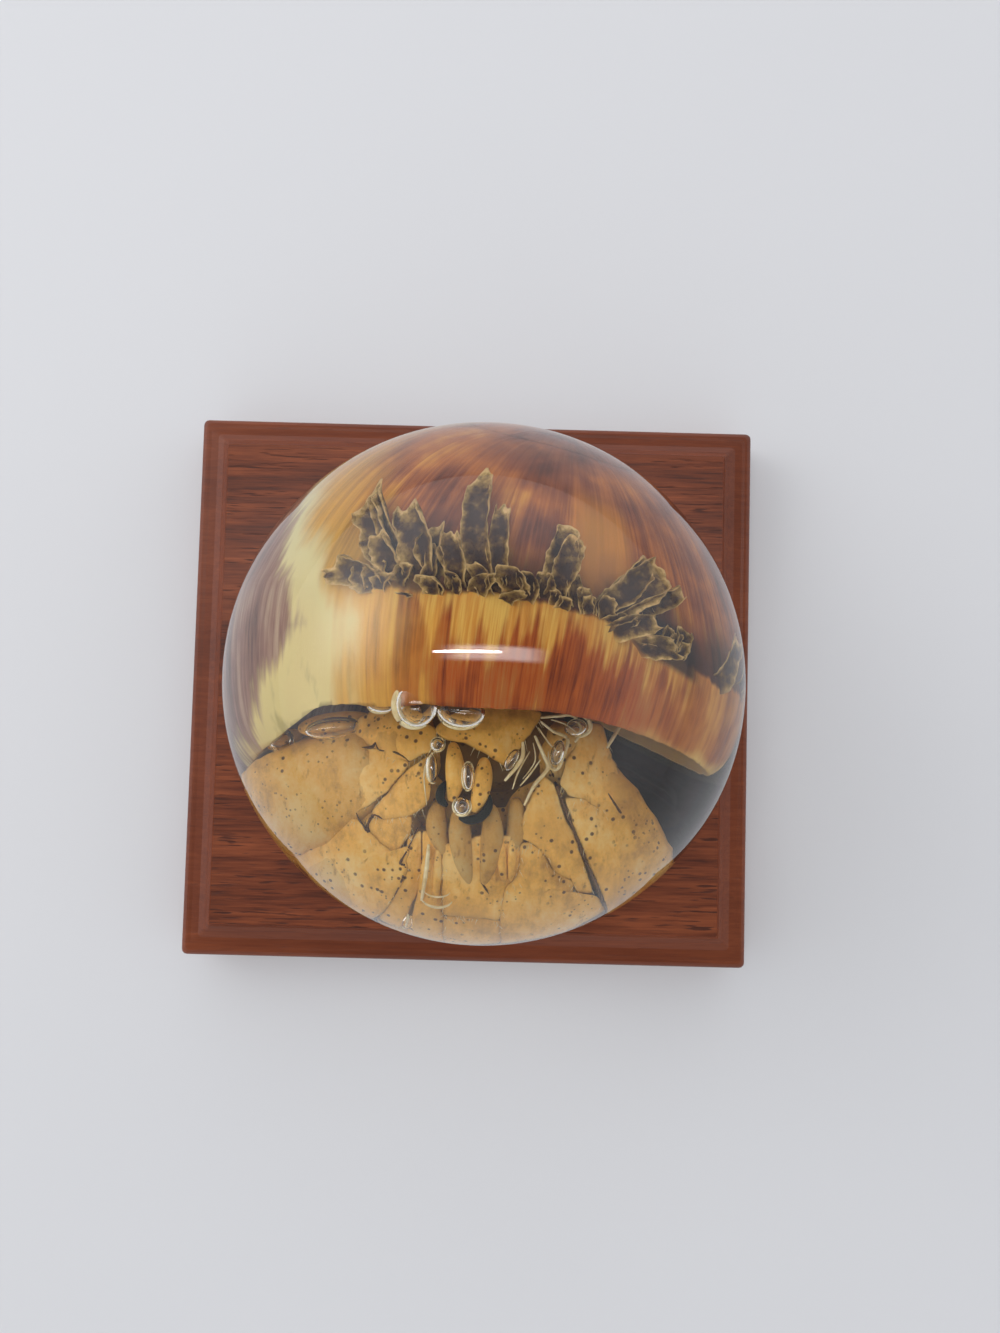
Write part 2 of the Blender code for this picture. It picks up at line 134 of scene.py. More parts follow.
# Scales of the crown: root angle and distance from the apex, tip angle and
# distance, lift of the tip, half width
SCALES = (
    (129, 27.0, 146, 23.4, 2.0, 2.2), (127, 26.4, 134, 19.5, 3.4, 1.6), (131, 24.5, 146, 14.5, 3.0, 2.0),
    (123, 26.0, 145, 12.8, 4.0, 1.2), (120, 26.2, 130, 14.8, 3.8, 2.2), (115, 26.8, 120, 18.0, 2.0, 1.7),
    (110, 27.0, 115, 18.5, 3.0, 1.4), (104, 26.2, 112, 9.5, 4.6, 1.8), (99, 26.6, 103, 13.5, 3.4, 1.2),
    (94, 27.3, 98, 22.5, 2.6, 1.7), (91, 27.2, 94, 23.0, 2.0, 1.2), (85, 27.3, 81, 16.3, 4.2, 1.5),
    (87, 26.5, 84, 15.0, 3.2, 1.8), (72, 26.8, 54, 16.0, 3.6, 2.6), (74, 26.6, 58, 15.5, 3.0, 1.6),
    (69, 27.4, 47, 17.5, 4.2, 1.1), (69, 29.0, 57, 24.0, 3.0, 1.6), (61, 29.2, 50, 26.5, 3.0, 1.9),
    (26, 27.2, 15, 19.5, 4.0, 2.0), (6, 27.2, -4, 19.5, 4.0, 2.2),
    (-15, 27.2, -25, 19.5, 4.0, 2.0), (-38, 27.2, -46, 19.5, 3.6, 2.0), (-60, 27.2, -68, 20.5, 3.4, 1.9),
    (-82, 27.2, -89, 20.5, 3.2, 1.8), (-103, 27.2, -109, 21.5, 3.0, 1.7),
)
# Steps along and across a large scale, and a small one
SCALE_GRID = (26, 18)
KNOT_GRID = (12, 8)
# Small scales: their number, the angle of the first one and the way to the next
KNOT_COUNT = 84
KNOT_START = 138.0
KNOT_STEP = 2.9
# Their roots lie no further from the apex, and this stretch has none
KNOT_ROOT_LIMIT = 28.0
KNOT_GAP = (4.0, 42.0)

# The crab's front lies on a low dome: its top, its middle's y, its fall and its lowest height
DOME_TOP = 10.0
DOME_Y = -12.0
DOME_FALL = 0.021
DOME_LOWEST = -8.0
# Plates of the crab's front: outline in x and y, height over the dome,
# thickness and crown
PLATES = {
    "wrist_left": (
        ((-15.5, -5.0), (-11.8, -3.4), (-6.0, -6.5), (-6.3, -9.0), (-9.3, -10.5), (-13.5, -8.9),
         (-16.2, -7.2)),
        0.3, 5.0, 0.6),
    "great_palm": (
        ((-29.0, -11.5), (-22.6, -8.7), (-19.6, -8.1), (-15.5, -8.9), (-13.2, -9.2), (-9.4, -10.9),
         (-12.2, -14.5), (-16.0, -17.1), (-19.6, -19.2), (-24.0, -21.8), (-28.2, -17.0)),
        0.2, 7.0, 0.8),
    "merus_left": (
        ((-7.0, -10.0), (-9.5, -11.9), (-12.2, -15.0), (-13.9, -17.1), (-12.6, -18.0), (-9.2, -17.5),
         (-7.2, -16.3), (-6.5, -13.5)),
        -0.2, 4.5, 0.3),
    "hook_left": (
        ((-14.4, -17.8), (-12.8, -18.1), (-8.9, -17.8), (-9.2, -20.2), (-11.0, -22.0), (-12.7, -21.1),
         (-14.2, -19.7)),
        -0.5, 4.5, 0.25),
    "low_left": (
        ((-19.5, -19.6), (-16.2, -17.8), (-15.0, -18.6), (-14.3, -19.8), (-12.7, -21.4),
         (-11.0, -22.3), (-9.3, -21.4), (-9.6, -25.0), (-12.0, -29.5), (-14.8, -32.0), (-20.0, -27.5),
         (-23.8, -22.3)),
        -0.2, 5.5, 0.6),
    "shield": (
        ((-6.0, -6.7), (-4.4, -5.0), (0.1, -2.6), (4.4, -3.2), (7.5, -4.0), (6.7, -5.6), (4.6, -8.8),
         (2.8, -11.0), (1.4, -9.9), (-1.6, -8.3), (-4.6, -7.8)),
        0.6, 4.5, 0.7),
    "wrist_right": (
        ((12.6, -6.6), (13.4, -5.1), (15.2, -5.3), (16.0, -8.3), (17.4, -11.8), (18.4, -14.5),
         (19.8, -17.6), (18.6, -18.2), (16.4, -15.8), (15.2, -15.7), (13.3, -14.6), (11.3, -14.5),
         (10.4, -13.0), (11.2, -9.8)),
        0.3, 6.0, 0.6),
    "palm_right": (
        ((10.9, -14.9), (13.3, -14.8), (15.2, -15.9), (16.4, -16.1), (18.6, -18.5), (19.9, -18.3),
         (21.5, -20.5), (23.6, -20.6), (24.6, -22.0), (22.0, -27.5), (17.6, -31.2), (15.8, -26.2),
         (14.2, -22.9), (13.0, -20.0), (11.8, -17.2)),
        0.1, 7.0, 0.7),
    "merus_right": (
        ((8.0, -12.2), (9.4, -13.4), (10.7, -17.2), (12.0, -20.0), (13.2, -22.9), (14.6, -26.6),
         (12.3, -26.6), (12.3, -25.1), (10.8, -24.8), (9.5, -23.9), (8.4, -21.8), (6.4, -20.5),
         (5.2, -20.4), (6.2, -16.1)),
        -0.1, 5.0, 0.4),
    "low_right": (
        ((5.3, -21.1), (6.6, -20.9), (8.2, -22.2), (9.3, -24.3), (10.8, -25.2), (12.0, -25.5),
         (11.6, -27.4), (14.9, -27.0), (16.4, -29.2), (11.6, -33.4), (3.3, -35.2), (2.9, -30.5),
         (3.7, -26.6), (5.3, -25.1)),
        -0.1, 5.5, 0.6),
    "chin": (
        ((-4.6, -21.4), (-0.5, -20.4), (4.6, -20.2), (5.2, -22.7), (5.0, -25.0), (3.4, -26.6),
         (2.7, -30.8), (-1.5, -30.4), (-4.4, -30.2)),
        -0.3, 5.0, 0.3),
    "low_middle": (
        ((-4.2, -30.6), (-1.5, -30.6), (2.7, -31.0), (2.8, -35.0), (-4.4, -36.2)),
        -0.4, 5.0, 0.4),
    "column_left": (
        ((-9.3, -20.6), (-7.6, -19.5), (-7.5, -26.0), (-10.4, -32.6), (-13.0, -31.0), (-9.8, -25.0)),
        -0.9, 4.5, 0.5),
    "column_right": (
        ((-7.4, -19.6), (-4.6, -20.4), (-4.4, -27.2), (-4.6, -35.6), (-9.6, -33.8), (-7.2, -26.0)),
        -1.1, 4.5, 0.5),
}

# How far each plate runs over its neighbour, and the spacing of the points round it
PLATE_OVERLAP = 0.3
PLATE_STEP = 0.4
# Unevenness of a plate's edge and dents of its top: depth, and waves in a millimetre
EDGE_WAVES = ((0.22, 0.9), (0.10, 3.1))
DENTS = ((0.34, 0.22), (0.10, 0.9), (0.035, 3.4))

# Fine dark strands of painted shade in the creases and cracks: their course in x and y, and thickness
CREASE_SHADE_STRANDS = (
    (((-13.7, -8.2), (-13.2, -9.2), (-11.6, -9.4), (-10.3, -10.0), (-9.3, -10.8)), 0.24),
    (((-13.7, -8.2), (-14.1, -8.8), (-15.4, -8.9)), 0.34),
    (((-15.9, -17.2), (-15.2, -18.4), (-14.3, -19.6), (-14.4, -18.7), (-13.7, -17.5), (-12.6, -18.0)), 0.40),
    (((16.3, -14.0), (17.5, -15.8), (18.8, -17.5)), 0.30),
    (((0.3, -26.2), (0.8, -26.8), (1.3, -27.6)), 0.30),
    (((-8.0, -19.0), (-9.3, -22.0), (-10.2, -23.7), (-9.5, -24.2), (-10.4, -26.9), (-11.5, -28.8)), 0.30),
)
# A rough dark strand of painted shade in the join between the right claw and the leg beside it
RIGHT_SEAM_SHADE = (
    (8.9, -11.2), (9.6, -13.0), (10.3, -14.9), (11.3, -17.2), (12.5, -20.0), (13.7, -22.9), (15.3, -26.2),
    (16.9, -29.6),
)

# Limbs under the plates, as joints with width and thickness, body outwards
LIMBS = (
    (((-5.0, -6.5, 4.0), 8.5, 6.5), ((-12.5, -10.5, 4.0), 11.0, 8.0), ((-28.0, -17.5, -5.5), 15.5, 10.0)),
    (((-27.5, -15.5, -4.5), 7.0, 7.0), ((-29.5, -20.0, -14.0), 6.0, 6.0), ((-24.5, -24.0, -22.0), 2.0, 2.0)),
    (((-24.5, -20.5, -5.0), 7.0, 6.5), ((-24.5, -25.0, -14.0), 5.5, 5.5), ((-21.5, -26.0, -21.5), 2.0, 2.0)),
    (((7.5, -6.5, 3.5), 7.0, 6.0), ((12.5, -11.0, 3.8), 9.0, 7.0), ((21.0, -26.0, -5.0), 13.0, 8.5)),
    (((22.5, -24.5, -3.5), 6.0, 6.0), ((25.5, -26.0, -13.0), 4.8, 5.0), ((22.0, -26.5, -21.0), 2.0, 2.0)),
    (((18.5, -27.5, -4.0), 6.0, 6.0), ((19.5, -30.0, -13.0), 4.6, 5.0), ((17.5, -29.0, -20.5), 1.8, 1.8)),
    (((-6.0, -10.5, 1.5), 7.0, 6.0), ((-10.0, -15.5, 2.5), 9.0, 6.5), ((-19.0, -28.0, -5.5), 11.5, 7.5),
     ((-18.0, -31.0, -15.5), 7.5, 6.5), ((-13.5, -27.0, -26.5), 1.6, 1.6)),
    (((-4.0, -13.0, 0.0), 6.5, 5.5), ((-6.0, -18.5, 1.0), 8.5, 6.5), ((-9.5, -33.0, -6.0), 10.0, 7.0),
     ((-9.0, -35.0, -15.0), 7.0, 6.0), ((-6.0, -29.5, -26.5), 1.6, 1.6)),
    (((1.5, -13.5, -0.5), 6.5, 5.5), ((1.0, -19.0, 0.5), 8.0, 6.5), ((1.0, -34.0, -6.5), 10.5, 7.0),
     ((1.0, -36.0, -15.5), 7.0, 6.0), ((1.0, -30.0, -26.5), 1.6, 1.6)),
    (((6.0, -11.5, 1.0), 6.5, 5.5), ((7.0, -17.5, 2.0), 8.0, 6.5), ((11.0, -32.0, -5.5), 10.5, 7.0),
     ((11.0, -34.0, -15.0), 7.0, 6.0), ((8.5, -29.0, -26.5), 1.6, 1.6)),
)
# Pleats of the skin on both sides of the chin
PLEATS = (
    (((1.3, -21.0, 7.9), 1.3, 1.3), ((1.2, -23.4, 7.0), 1.4, 1.3), ((2.2, -26.0, 5.4), 1.1, 1.0)),
    (((2.8, -20.8, 7.9), 1.3, 1.3), ((2.9, -23.4, 7.1), 1.4, 1.3), ((3.3, -26.0, 5.4), 1.1, 1.0)),
    (((4.1, -20.6, 7.9), 1.1, 1.3), ((4.2, -23.2, 7.1), 1.2, 1.3), ((4.1, -25.8, 5.5), 1.0, 1.0)),
    (((-6.6, -21.6, 6.6), 1.3, 1.2), ((-6.9, -25.0, 4.9), 1.4, 1.2), ((-7.5, -28.8, 2.4), 1.2, 1.0)),
    (((-5.3, -21.8, 6.7), 1.2, 1.2), ((-5.4, -25.0, 5.1), 1.3, 1.2), ((-5.6, -28.8, 2.6), 1.2, 1.0)),
)
# Rings along a segment of a limb and points round it; the ends are blunt and the section squarish
LIMB_RINGS = 12
LIMB_SIDES = 20
LIMB_BLUNT = 0.32
LIMB_SQUARE = 0.8
# Chest and abdomen: middle and radii
TRUNK = (
    ((0.5, -7.0, 3.0), (9.5, 7.5, 5.5)),
    ((0.5, -9.0, -2.0), (11.0, 9.0, 8.0)),
    ((1.5, 2.5, 0.0), (11.0, 11.0, 9.0)),
)
MOUTHPARTS = (
    (((-2.4, -15.6, 8.4), 2.6, 2.4), ((-2.6, -19.6, 8.1), 3.1, 2.5), ((-2.0, -23.6, 7.0), 2.5, 1.9),
     ((-1.2, -26.2, 5.3), 1.6, 1.2)),
    (((1.2, -16.0, 8.4), 2.6, 2.4), ((1.6, -19.8, 8.2), 3.1, 2.5), ((1.2, -23.8, 7.0), 2.5, 1.9),
     ((0.5, -26.4, 5.3), 1.6, 1.2)),
    (((-5.4, -15.5, 7.4), 2.4, 2.2), ((-5.6, -19.0, 6.9), 2.8, 2.2), ((-4.4, -22.6, 6.4), 2.0, 1.8)),
    (((4.4, -15.0, 7.8), 2.4, 2.2), ((4.8, -18.8, 7.3), 2.8, 2.2), ((3.6, -22.4, 6.8), 2.0, 1.8)),
)
# Golden lumps under the long bubble at the left: middle in x and y, height over
# the dome, radii and turn about Z
LUMPS = (((-18.4, -5.8), -0.1, (5.0, 1.6, 1.1), 8.0), ((-24.4, -7.5), 0.1, (2.4, 1.2, 0.9), 20.0))
EYESTALKS = (
    (((-3.8, -8.3, 9.6), 2.2, 2.0), ((-3.5, -10.8, 10.9), 2.5, 2.2), ((-3.4, -13.6, 11.0), 2.5, 2.2),
     ((-3.9, -15.9, 10.5), 2.2, 2.0)),
    (((0.3, -10.2, 10.0), 2.2, 2.0), ((0.3, -12.4, 11.1), 2.5, 2.2), ((-0.1, -15.0, 11.1), 2.4, 2.2),
     ((-0.9, -17.3, 10.5), 2.1, 2.0)),
)
CORNEAS = (
    (((-4.5, -13.3, 11.1), 0.6, 0.8), ((-5.1, -14.4, 11.1), 1.2, 1.2), ((-5.2, -15.7, 10.9), 1.3, 1.3),
     ((-4.3, -16.6, 10.7), 1.1, 1.1)),
    (((1.2, -15.0, 11.1), 0.6, 0.8), ((1.1, -16.5, 11.0), 1.2, 1.2), ((0.1, -17.9, 10.8), 1.3, 1.3),
     ((-1.5, -18.4, 10.6), 1.3, 1.3), ((-2.8, -18.1, 10.5), 0.8, 1.0)),
)
# Feelers, and the pale strands beside the eyes and the chin: their course in x and y,
# height over the dome, and thickness
STRANDS = (
    (((7.5, -4.7), (9.7, -4.4), (11.4, -4.2), (12.6, -5.2), (12.7, -6.4), (12.0, -7.7)), 2.0, 0.5),
    (((7.5, -5.2), (9.1, -6.4), (11.0, -7.3), (10.6, -9.5), (9.7, -11.4), (8.7, -11.2)), 1.8, 0.46),
    (((6.8, -7.1), (7.9, -9.4), (8.6, -11.3), (7.0, -13.5), (5.7, -16.3)), 1.8, 0.55),
    (((5.3, -8.0), (5.2, -10.3), (3.1, -13.2)), 2.2, 0.56),
    (((17.6, -5.0), (16.0, -8.2)), 1.8, 0.5),
    (((7.2, -6.0), (8.5, -7.8), (9.6, -9.0)), 1.4, 0.24),
    (((6.2, -9.2), (4.8, -11.9), (4.1, -14.2)), 1.3, 0.24),
    (((7.6, -10.2), (6.3, -12.2), (5.1, -13.7)), 1.3, 0.24),
    (((8.8, -4.9), (10.6, -5.4), (12.1, -6.6)), 1.6, 0.22),
    (((6.6, -8.0), (6.9, -10.4), (5.4, -12.8)), 1.0, 0.2),
    (((-6.2, -8.0), (-7.4, -12.0), (-7.0, -16.4)), 1.3, 0.2),
    (((-6.6, -21.4), (-6.8, -24.4), (-7.4, -28.6)), 0.2, 0.60),
    (((-9.2, -30.8), (-9.5, -32.2), (-10.2, -33.4)), 1.2, 0.5),
)
# Short bristles: radii from root to tip
HAIR_RADII = (0.055, 0.045, 0.030, 0.012)
# Pale strands round the bubbles, painted highlights of their bright rims: middle in x and y, height over
# the dome, radii, first and last angle, and thickness
BUBBLE_RIM_HIGHLIGHTS = (
    ((-8.8, -3.9), 13.0, (2.9, 3.1), 95.0, 300.0, 1.05),
    ((-2.8, -4.7), 10.2, (3.1, 2.2), 185.0, 355.0, 0.45),
    ((-13.5, -4.0), 10.2, (1.7, 0.9), 170.0, 350.0, 0.40),
    ((-5.7, -8.6), 2.2, (0.9, 0.9), 30.0, 380.0, 0.36),
    ((-6.2, -11.7), 1.9, (0.9, 2.0), 80.0, 290.0, 0.42),
    ((-1.7, -12.7), 1.9, (0.8, 1.9), 20.0, 375.0, 0.28),
    ((-2.4, -16.6), 1.9, (1.2, 1.3), 130.0, 400.0, 0.34),
    ((-24.9, -7.7), 1.8, (1.6, 1.5), 70.0, 320.0, 0.34),
    ((-5.4, -28.2), 0.4, (2.1, 1.6), 190.0, 340.0, 0.50),
    ((-5.4, -27.0), 0.2, (1.9, 1.3), 195.0, 335.0, 0.30),
    ((12.2, -5.6), 2.2, (1.7, 1.4), 260.0, 460.0, 0.62),
    ((9.6, -9.4), 1.8, (1.0, 2.0), 170.0, 350.0, 0.44),
)
# Steps along such a strand
RIM_STEPS = 40
# Air bubbles: middle in x and y, height over the dome, radii and turn about Z
BUBBLES = (
    ((-8.8, -3.9), 13.0, (2.9, 3.1, 1.4), 0.0), ((-2.8, -4.6), 10.2, (3.2, 2.2, 1.2), -6.0),
    ((-13.5, -4.0), 10.2, (1.8, 0.9, 0.8), -6.0), ((-5.8, -8.6), 2.2, (0.9, 0.9, 0.6), 0.0),
    ((-6.5, -11.6), 1.8, (0.8, 2.0, 0.7), 4.0), ((-1.7, -12.7), 1.9, (0.8, 1.8, 0.8), 4.0),
    ((-2.4, -16.6), 1.8, (1.1, 1.2, 0.8), 0.0), ((-24.9, -7.7), 1.8, (1.6, 1.4, 1.0), 20.0),
    ((-19.0, -6.4), 1.9, (3.6, 1.4, 1.0), 8.0),
    ((-9.4, -32.2), 1.3, (0.8, 1.8, 0.6), -16.0), ((12.0, -5.8), 2.2, (1.5, 1.1, 0.7), 10.0),
    ((9.8, -9.2), 1.8, (0.9, 1.7, 0.7), -12.0), ((3.9, -10.4), 1.8, (0.8, 1.6, 0.7), -28.0),
)
# Steps from pole to pole of an ellipsoid, and points round it
ELLIPSOID_RINGS = 14
ELLIPSOID_SIDES = 24

# The camera looks down from close above: its place, its direction and its upper side
CAMERA_PLACE = Vector((6.09, -6.84, 240.29)) * MM
CAMERA_FORWARD = Vector((0.0023, 0.0544, -0.9985))
CAMERA_UP = Vector((-0.0262, 0.9982, 0.0543))
# The sensor in millimetres, and the picture in pixels
SENSOR_WIDTH = 36.0
IMAGE_WIDTH = 1000.0
IMAGE_HEIGHT = 1333.0
# Half the side of the table top, in metres
TABLE_HALF = 1.6
# The walls of the room are brightest on this side
BRIGHT_SIDE = (-0.55, 0.75, 0.0)


class PlinthSettings(bpy.types.PropertyGroup):
    wood_dark: FloatVectorProperty(
        name="Dark wood", description="Colour of the pores and the dark figure",
        default=(0.030, 0.005, 0.002), subtype="COLOR", size=3, min=0.0, max=1.0)
    wood_mid: FloatVectorProperty(
        name="Wood", description="Main colour of the mahogany",
        default=(0.150, 0.032, 0.009), subtype="COLOR", size=3, min=0.0, max=1.0)
    wood_light: FloatVectorProperty(
        name="Light wood", description="Colour of the lightest streaks",
        default=(0.27, 0.066, 0.020), subtype="COLOR", size=3, min=0.0, max=1.0)
    pore_length: FloatProperty(
        name="Pore length", description="Length of the open pores along the grain",
        default=7.0 * MM, unit="LENGTH", min=0.001)


class ResinSettings(bpy.types.PropertyGroup):
    ior: FloatProperty(
        name="IOR", description="Refraction of the cured resin", default=1.52, min=1.3, max=1.7)
    tint: FloatVectorProperty(
        name="Tint", description="What the resin lets through, for its absorption",
        default=(0.97, 0.94, 0.84), subtype="COLOR", size=3, min=0.0, max=1.0)
    tint_density: FloatProperty(
        name="Tint density", description="Strength of the absorption", default=14.0, min=0.0)
    sides: IntProperty(name="Sides", description="Segments round the ball", default=192, min=24)


class ShellSettings(bpy.types.PropertyGroup):
    dark_brown: FloatVectorProperty(
        name="Dark brown", description="Darkest streaks of the whorl",
        default=(0.20, 0.036, 0.009), subtype="COLOR", size=3, min=0.0, max=1.0)
    red_brown: FloatVectorProperty(
        name="Red-brown", description="Main streaks of the whorl",
        default=(0.46, 0.100, 0.015), subtype="COLOR", size=3, min=0.0, max=1.0)
    ochre: FloatVectorProperty(
        name="Ochre", description="Light streaks of the whorl",
        default=(0.76, 0.34, 0.055), subtype="COLOR", size=3, min=0.0, max=1.0)
    yellow: FloatVectorProperty(
        name="Yellow", description="Tongues under the shoulder",
        default=(0.86, 0.54, 0.12), subtype="COLOR", size=3, min=0.0, max=1.0)
    cream: FloatVectorProperty(
        name="Cream", description="The outer lip",
        default=(0.82, 0.60, 0.15), subtype="COLOR", size=3, min=0.0, max=1.0)
    ridge_height: FloatProperty(
        name="Growth ridges", description="Height of the growth ridges",
        default=0.16 * MM, unit="LENGTH", min=0.0)
    scale_thickness: FloatProperty(
        name="Scale thickness", description="Thickness of the scales on the shoulder",
        default=0.55 * MM, unit="LENGTH", min=0.0001)


class CrabSettings(bpy.types.PropertyGroup):
    tan: FloatVectorProperty(
        name="Golden tan", description="Dry cuticle",
        default=(0.88, 0.48, 0.095), subtype="COLOR", size=3, min=0.0, max=1.0)
    # Brown of the trunk and the mouthparts, also painted shade on the plates' sides and in the creases
    seam: FloatVectorProperty(
        name="Seam brown", description="Skin between the plates",
        default=(0.10, 0.045, 0.015), subtype="COLOR", size=3, min=0.0, max=1.0)
    dot_spacing: FloatProperty(
        name="Dot spacing", description="Mean distance of the dark dots",
        default=2.1 * MM, unit="LENGTH", min=0.0002)
    hair_count: IntProperty(name="Hairs", description="Bristles on legs and claws", default=420, min=0)


class StageSettings(bpy.types.PropertyGroup):
    floor_colour: FloatVectorProperty(
        name="Floor", description="Pale table top",
        default=(0.71, 0.71, 0.72), subtype="COLOR", size=3, min=0.0, max=1.0)
    sky: FloatProperty(name="Room light", description="Strength of the even light", default=1.35, min=0.0)
    lamp: FloatProperty(
        name="Soft lamp", description="Power of the large soft light",
        default=12.0, unit="POWER", min=0.0)
    strip: FloatProperty(
        name="Strip lamp", description="Power of the long thin light",
        default=2.6, unit="POWER", min=0.0)
    glow: FloatProperty(
        name="Strip glow", description="Power of the soft light round it",
        default=4.0, unit="POWER", min=0.0)


class Value:
    """A node's output. Arithmetic on it adds the Math nodes."""

    def __init__(self, shader, socket):
        self.shader = shader
        self.socket = socket

    def maths(self, operation, *values):
        return self.shader.node("ShaderNodeMath", {"operation": operation}, dict(enumerate(values)))

    def __add__(self, other):
        return self.maths("ADD", self, other)

    def __radd__(self, other):
        return self.maths("ADD", other, self)

    def __sub__(self, other):
        return self.maths("SUBTRACT", self, other)

    def __rsub__(self, other):
        return self.maths("SUBTRACT", other, self)

    def __mul__(self, other):
        return self.maths("MULTIPLY", self, other)

    def __rmul__(self, other):
        return self.maths("MULTIPLY", other, self)

    def __abs__(self):
        return self.maths("ABSOLUTE", self)

    def at_least(self, other):
        return self.maths("MAXIMUM", self, other)

    def step(self, low, high):
        """0 below low and 1 above high, smooth between."""
        return self.shader.node("ShaderNodeMapRange", {"interpolation_type": "SMOOTHSTEP"},
                                {"Value": self, "From Min": low, "From Max": high})

    def near(self, middle, core, edge):
        """1 within the core's distance of the middle and 0 beyond the edge's, smooth between."""
        return 1.0 - abs(self - middle).step(core, edge)


class Nodes:
    """A node tree that is filled by calls."""

    def __init__(self, tree):
        self.tree = tree

    def feed(self, socket, value):
        if isinstance(value, Value):
            self.tree.links.new(value.socket, socket)
        elif socket.type == "RGBA":
            socket.default_value = (*value, 1.0)
        else:
            socket.default_value = value

    def node(self, kind, settings=None, inputs=None, output=0):
        """Any node: its settings first, then its inputs, and one of its outputs."""
        made = self.tree.nodes.new(kind)
        for key, setting in (settings or {}).items():
            if key == "stops":
                stops = made.color_ramp.elements
                while len(stops) < len(setting):
                    stops.new(1.0)
                for stop, (place, colour) in zip(stops, setting):
                    stop.position = place
                    stop.color = (*colour, 1.0)
            else:
                setattr(made, key, setting)
        for key, value in (inputs or {}).items():
            self.feed(made.inputs[key], value)
        return Value(self, made.outputs[output])

    def split(self, vector, axis):
        """One part of a vector."""
        return self.node("ShaderNodeSeparateXYZ", None, {0: vector}, output="XYZ".index(axis))


class Shader(Nodes):
    """A material with its node tree and its main shader."""

    def __init__(self, name, roughness=0.5, **sockets):
        self.material = bpy.data.materials.new(name)
        self.material.use_nodes = True
        super().__init__(self.material.node_tree)
        self.principled = self.tree.nodes["Principled BSDF"]
        self.feed(self.principled.inputs["Roughness"], roughness)
        for socket, value in sockets.items():
            self.feed(self.principled.inputs[socket.replace("_", " ")], value)

    def place(self):
        """Position in the object, in metres."""
        return self.node("ShaderNodeTexCoord", output=3)

    def mark(self, name, output=2):
        """A value that the mesh carries at its points."""
        return self.node("ShaderNodeAttribute", {"attribute_name": name}, output=output)

    def scaled(self, vector, scale):
        return self.node("ShaderNodeVectorMath", {"operation": "MULTIPLY"}, {0: vector, 1: scale})

    def noise(self, vector, scale=1.0, detail=3.0, roughness=0.5):
        return self.node("ShaderNodeTexNoise", None,
                         {"Vector": vector, "Scale": scale, "Detail": detail, "Roughness": roughness})

    def ramp(self, factor, *stops):
        return self.node("ShaderNodeValToRGB", {"stops": stops}, {0: factor})

    def mix(self, factor, first, second):
        return self.node("ShaderNodeMix", {"data_type": "RGBA"}, {0: factor, 6: first, 7: second}, output=2)

    def colour(self, value):
        self.feed(self.principled.inputs["Base Color"], value)

    def bump(self, height, distance, strength=1.0):
        """Relief of a height from 0 to 1, over a distance in metres."""
        normal = self.node("ShaderNodeBump", None,
                           {"Strength": strength, "Distance": distance, "Height": height})
        self.feed(self.principled.inputs["Normal"], normal)


def wood_material(settings):
    """Satin mahogany, with its grain and open pores along X."""
    shader = Shader("mahogany", Coat_Weight=0.12, Coat_Roughness=0.25, Specular_IOR_Level=0.25)
    place = shader.place()
    # The raised panel shows its open grain; the moulding round it is filled and smoother
    off_x = abs(shader.split(place, "X")).step(PANEL_HALF_X, PANEL_HALF_X + PANEL_EDGE)
    off_y = abs(shader.split(place, "Y")).step(PANEL_HALF_Y, PANEL_HALF_Y + PANEL_EDGE)
    panel = 1.0 - off_x.at_least(off_y) * 0.75
    # Scales are waves in a metre, fewer along X, because all figure is drawn out along the grain
    figure = shader.noise(shader.scaled(place, (12.0, 70.0, 70.0)), detail=3.0)
    grain = shader.noise(shader.scaled(place, (34.0, 700.0, 700.0)), detail=5.0, roughness=0.65)
    fine = shader.noise(shader.scaled(place, (120.0, 2600.0, 2600.0)), detail=3.0, roughness=0.65)
    along = 1.0 / settings.pore_length
    pores = shader.noise(shader.scaled(place, (along, 1900.0, 1900.0)), detail=1.5).step(0.56, 0.66)
    tone = (figure * 0.50 + grain * 0.55 + fine * 0.30 - 0.675) * (panel * 0.8 + 0.2) + 0.58
    colour = shader.ramp(tone, (0.40, settings.wood_dark), (0.57, settings.wood_mid),
                         (0.74, settings.wood_light))
    pore_depth = pores * grain.step(0.40, 0.60) * panel
    shader.colour(shader.mix(pore_depth * 0.8, colour, settings.wood_dark))
    shader.feed(shader.principled.inputs["Roughness"], 0.30 + panel * 0.12 + grain * 0.14)
    shader.bump(grain * panel * 0.5 + fine * 0.2 - pore_depth, 0.12 * MM, 0.8)
    return shader.material


def felt_material():
    """Matt black backing with a fine nap."""
    shader = Shader("black_backing", roughness=0.85, Specular_IOR_Level=0.05)
    nap = shader.noise(shader.place(), scale=2600.0, detail=2.0)
    shader.colour(shader.ramp(nap, (0.3, (0.006, 0.006, 0.007)), (0.75, (0.022, 0.022, 0.025))))
    shader.bump(nap, 0.05 * MM)
    return shader.material


def resin_material(settings):
    """Clear cast resin, polished, with a faint warm absorption."""
    shader = Shader("clear_resin", roughness=0.0, Transmission_Weight=1.0, IOR=settings.ior)
    shader.colour((1.0, 1.0, 1.0))
    absorption = shader.node("ShaderNodeVolumeAbsorption", None,
                             {"Color": settings.tint, "Density": settings.tint_density})
    shader.feed(shader.tree.nodes["Material Output"].inputs["Volume"], absorption)
    return shader.material


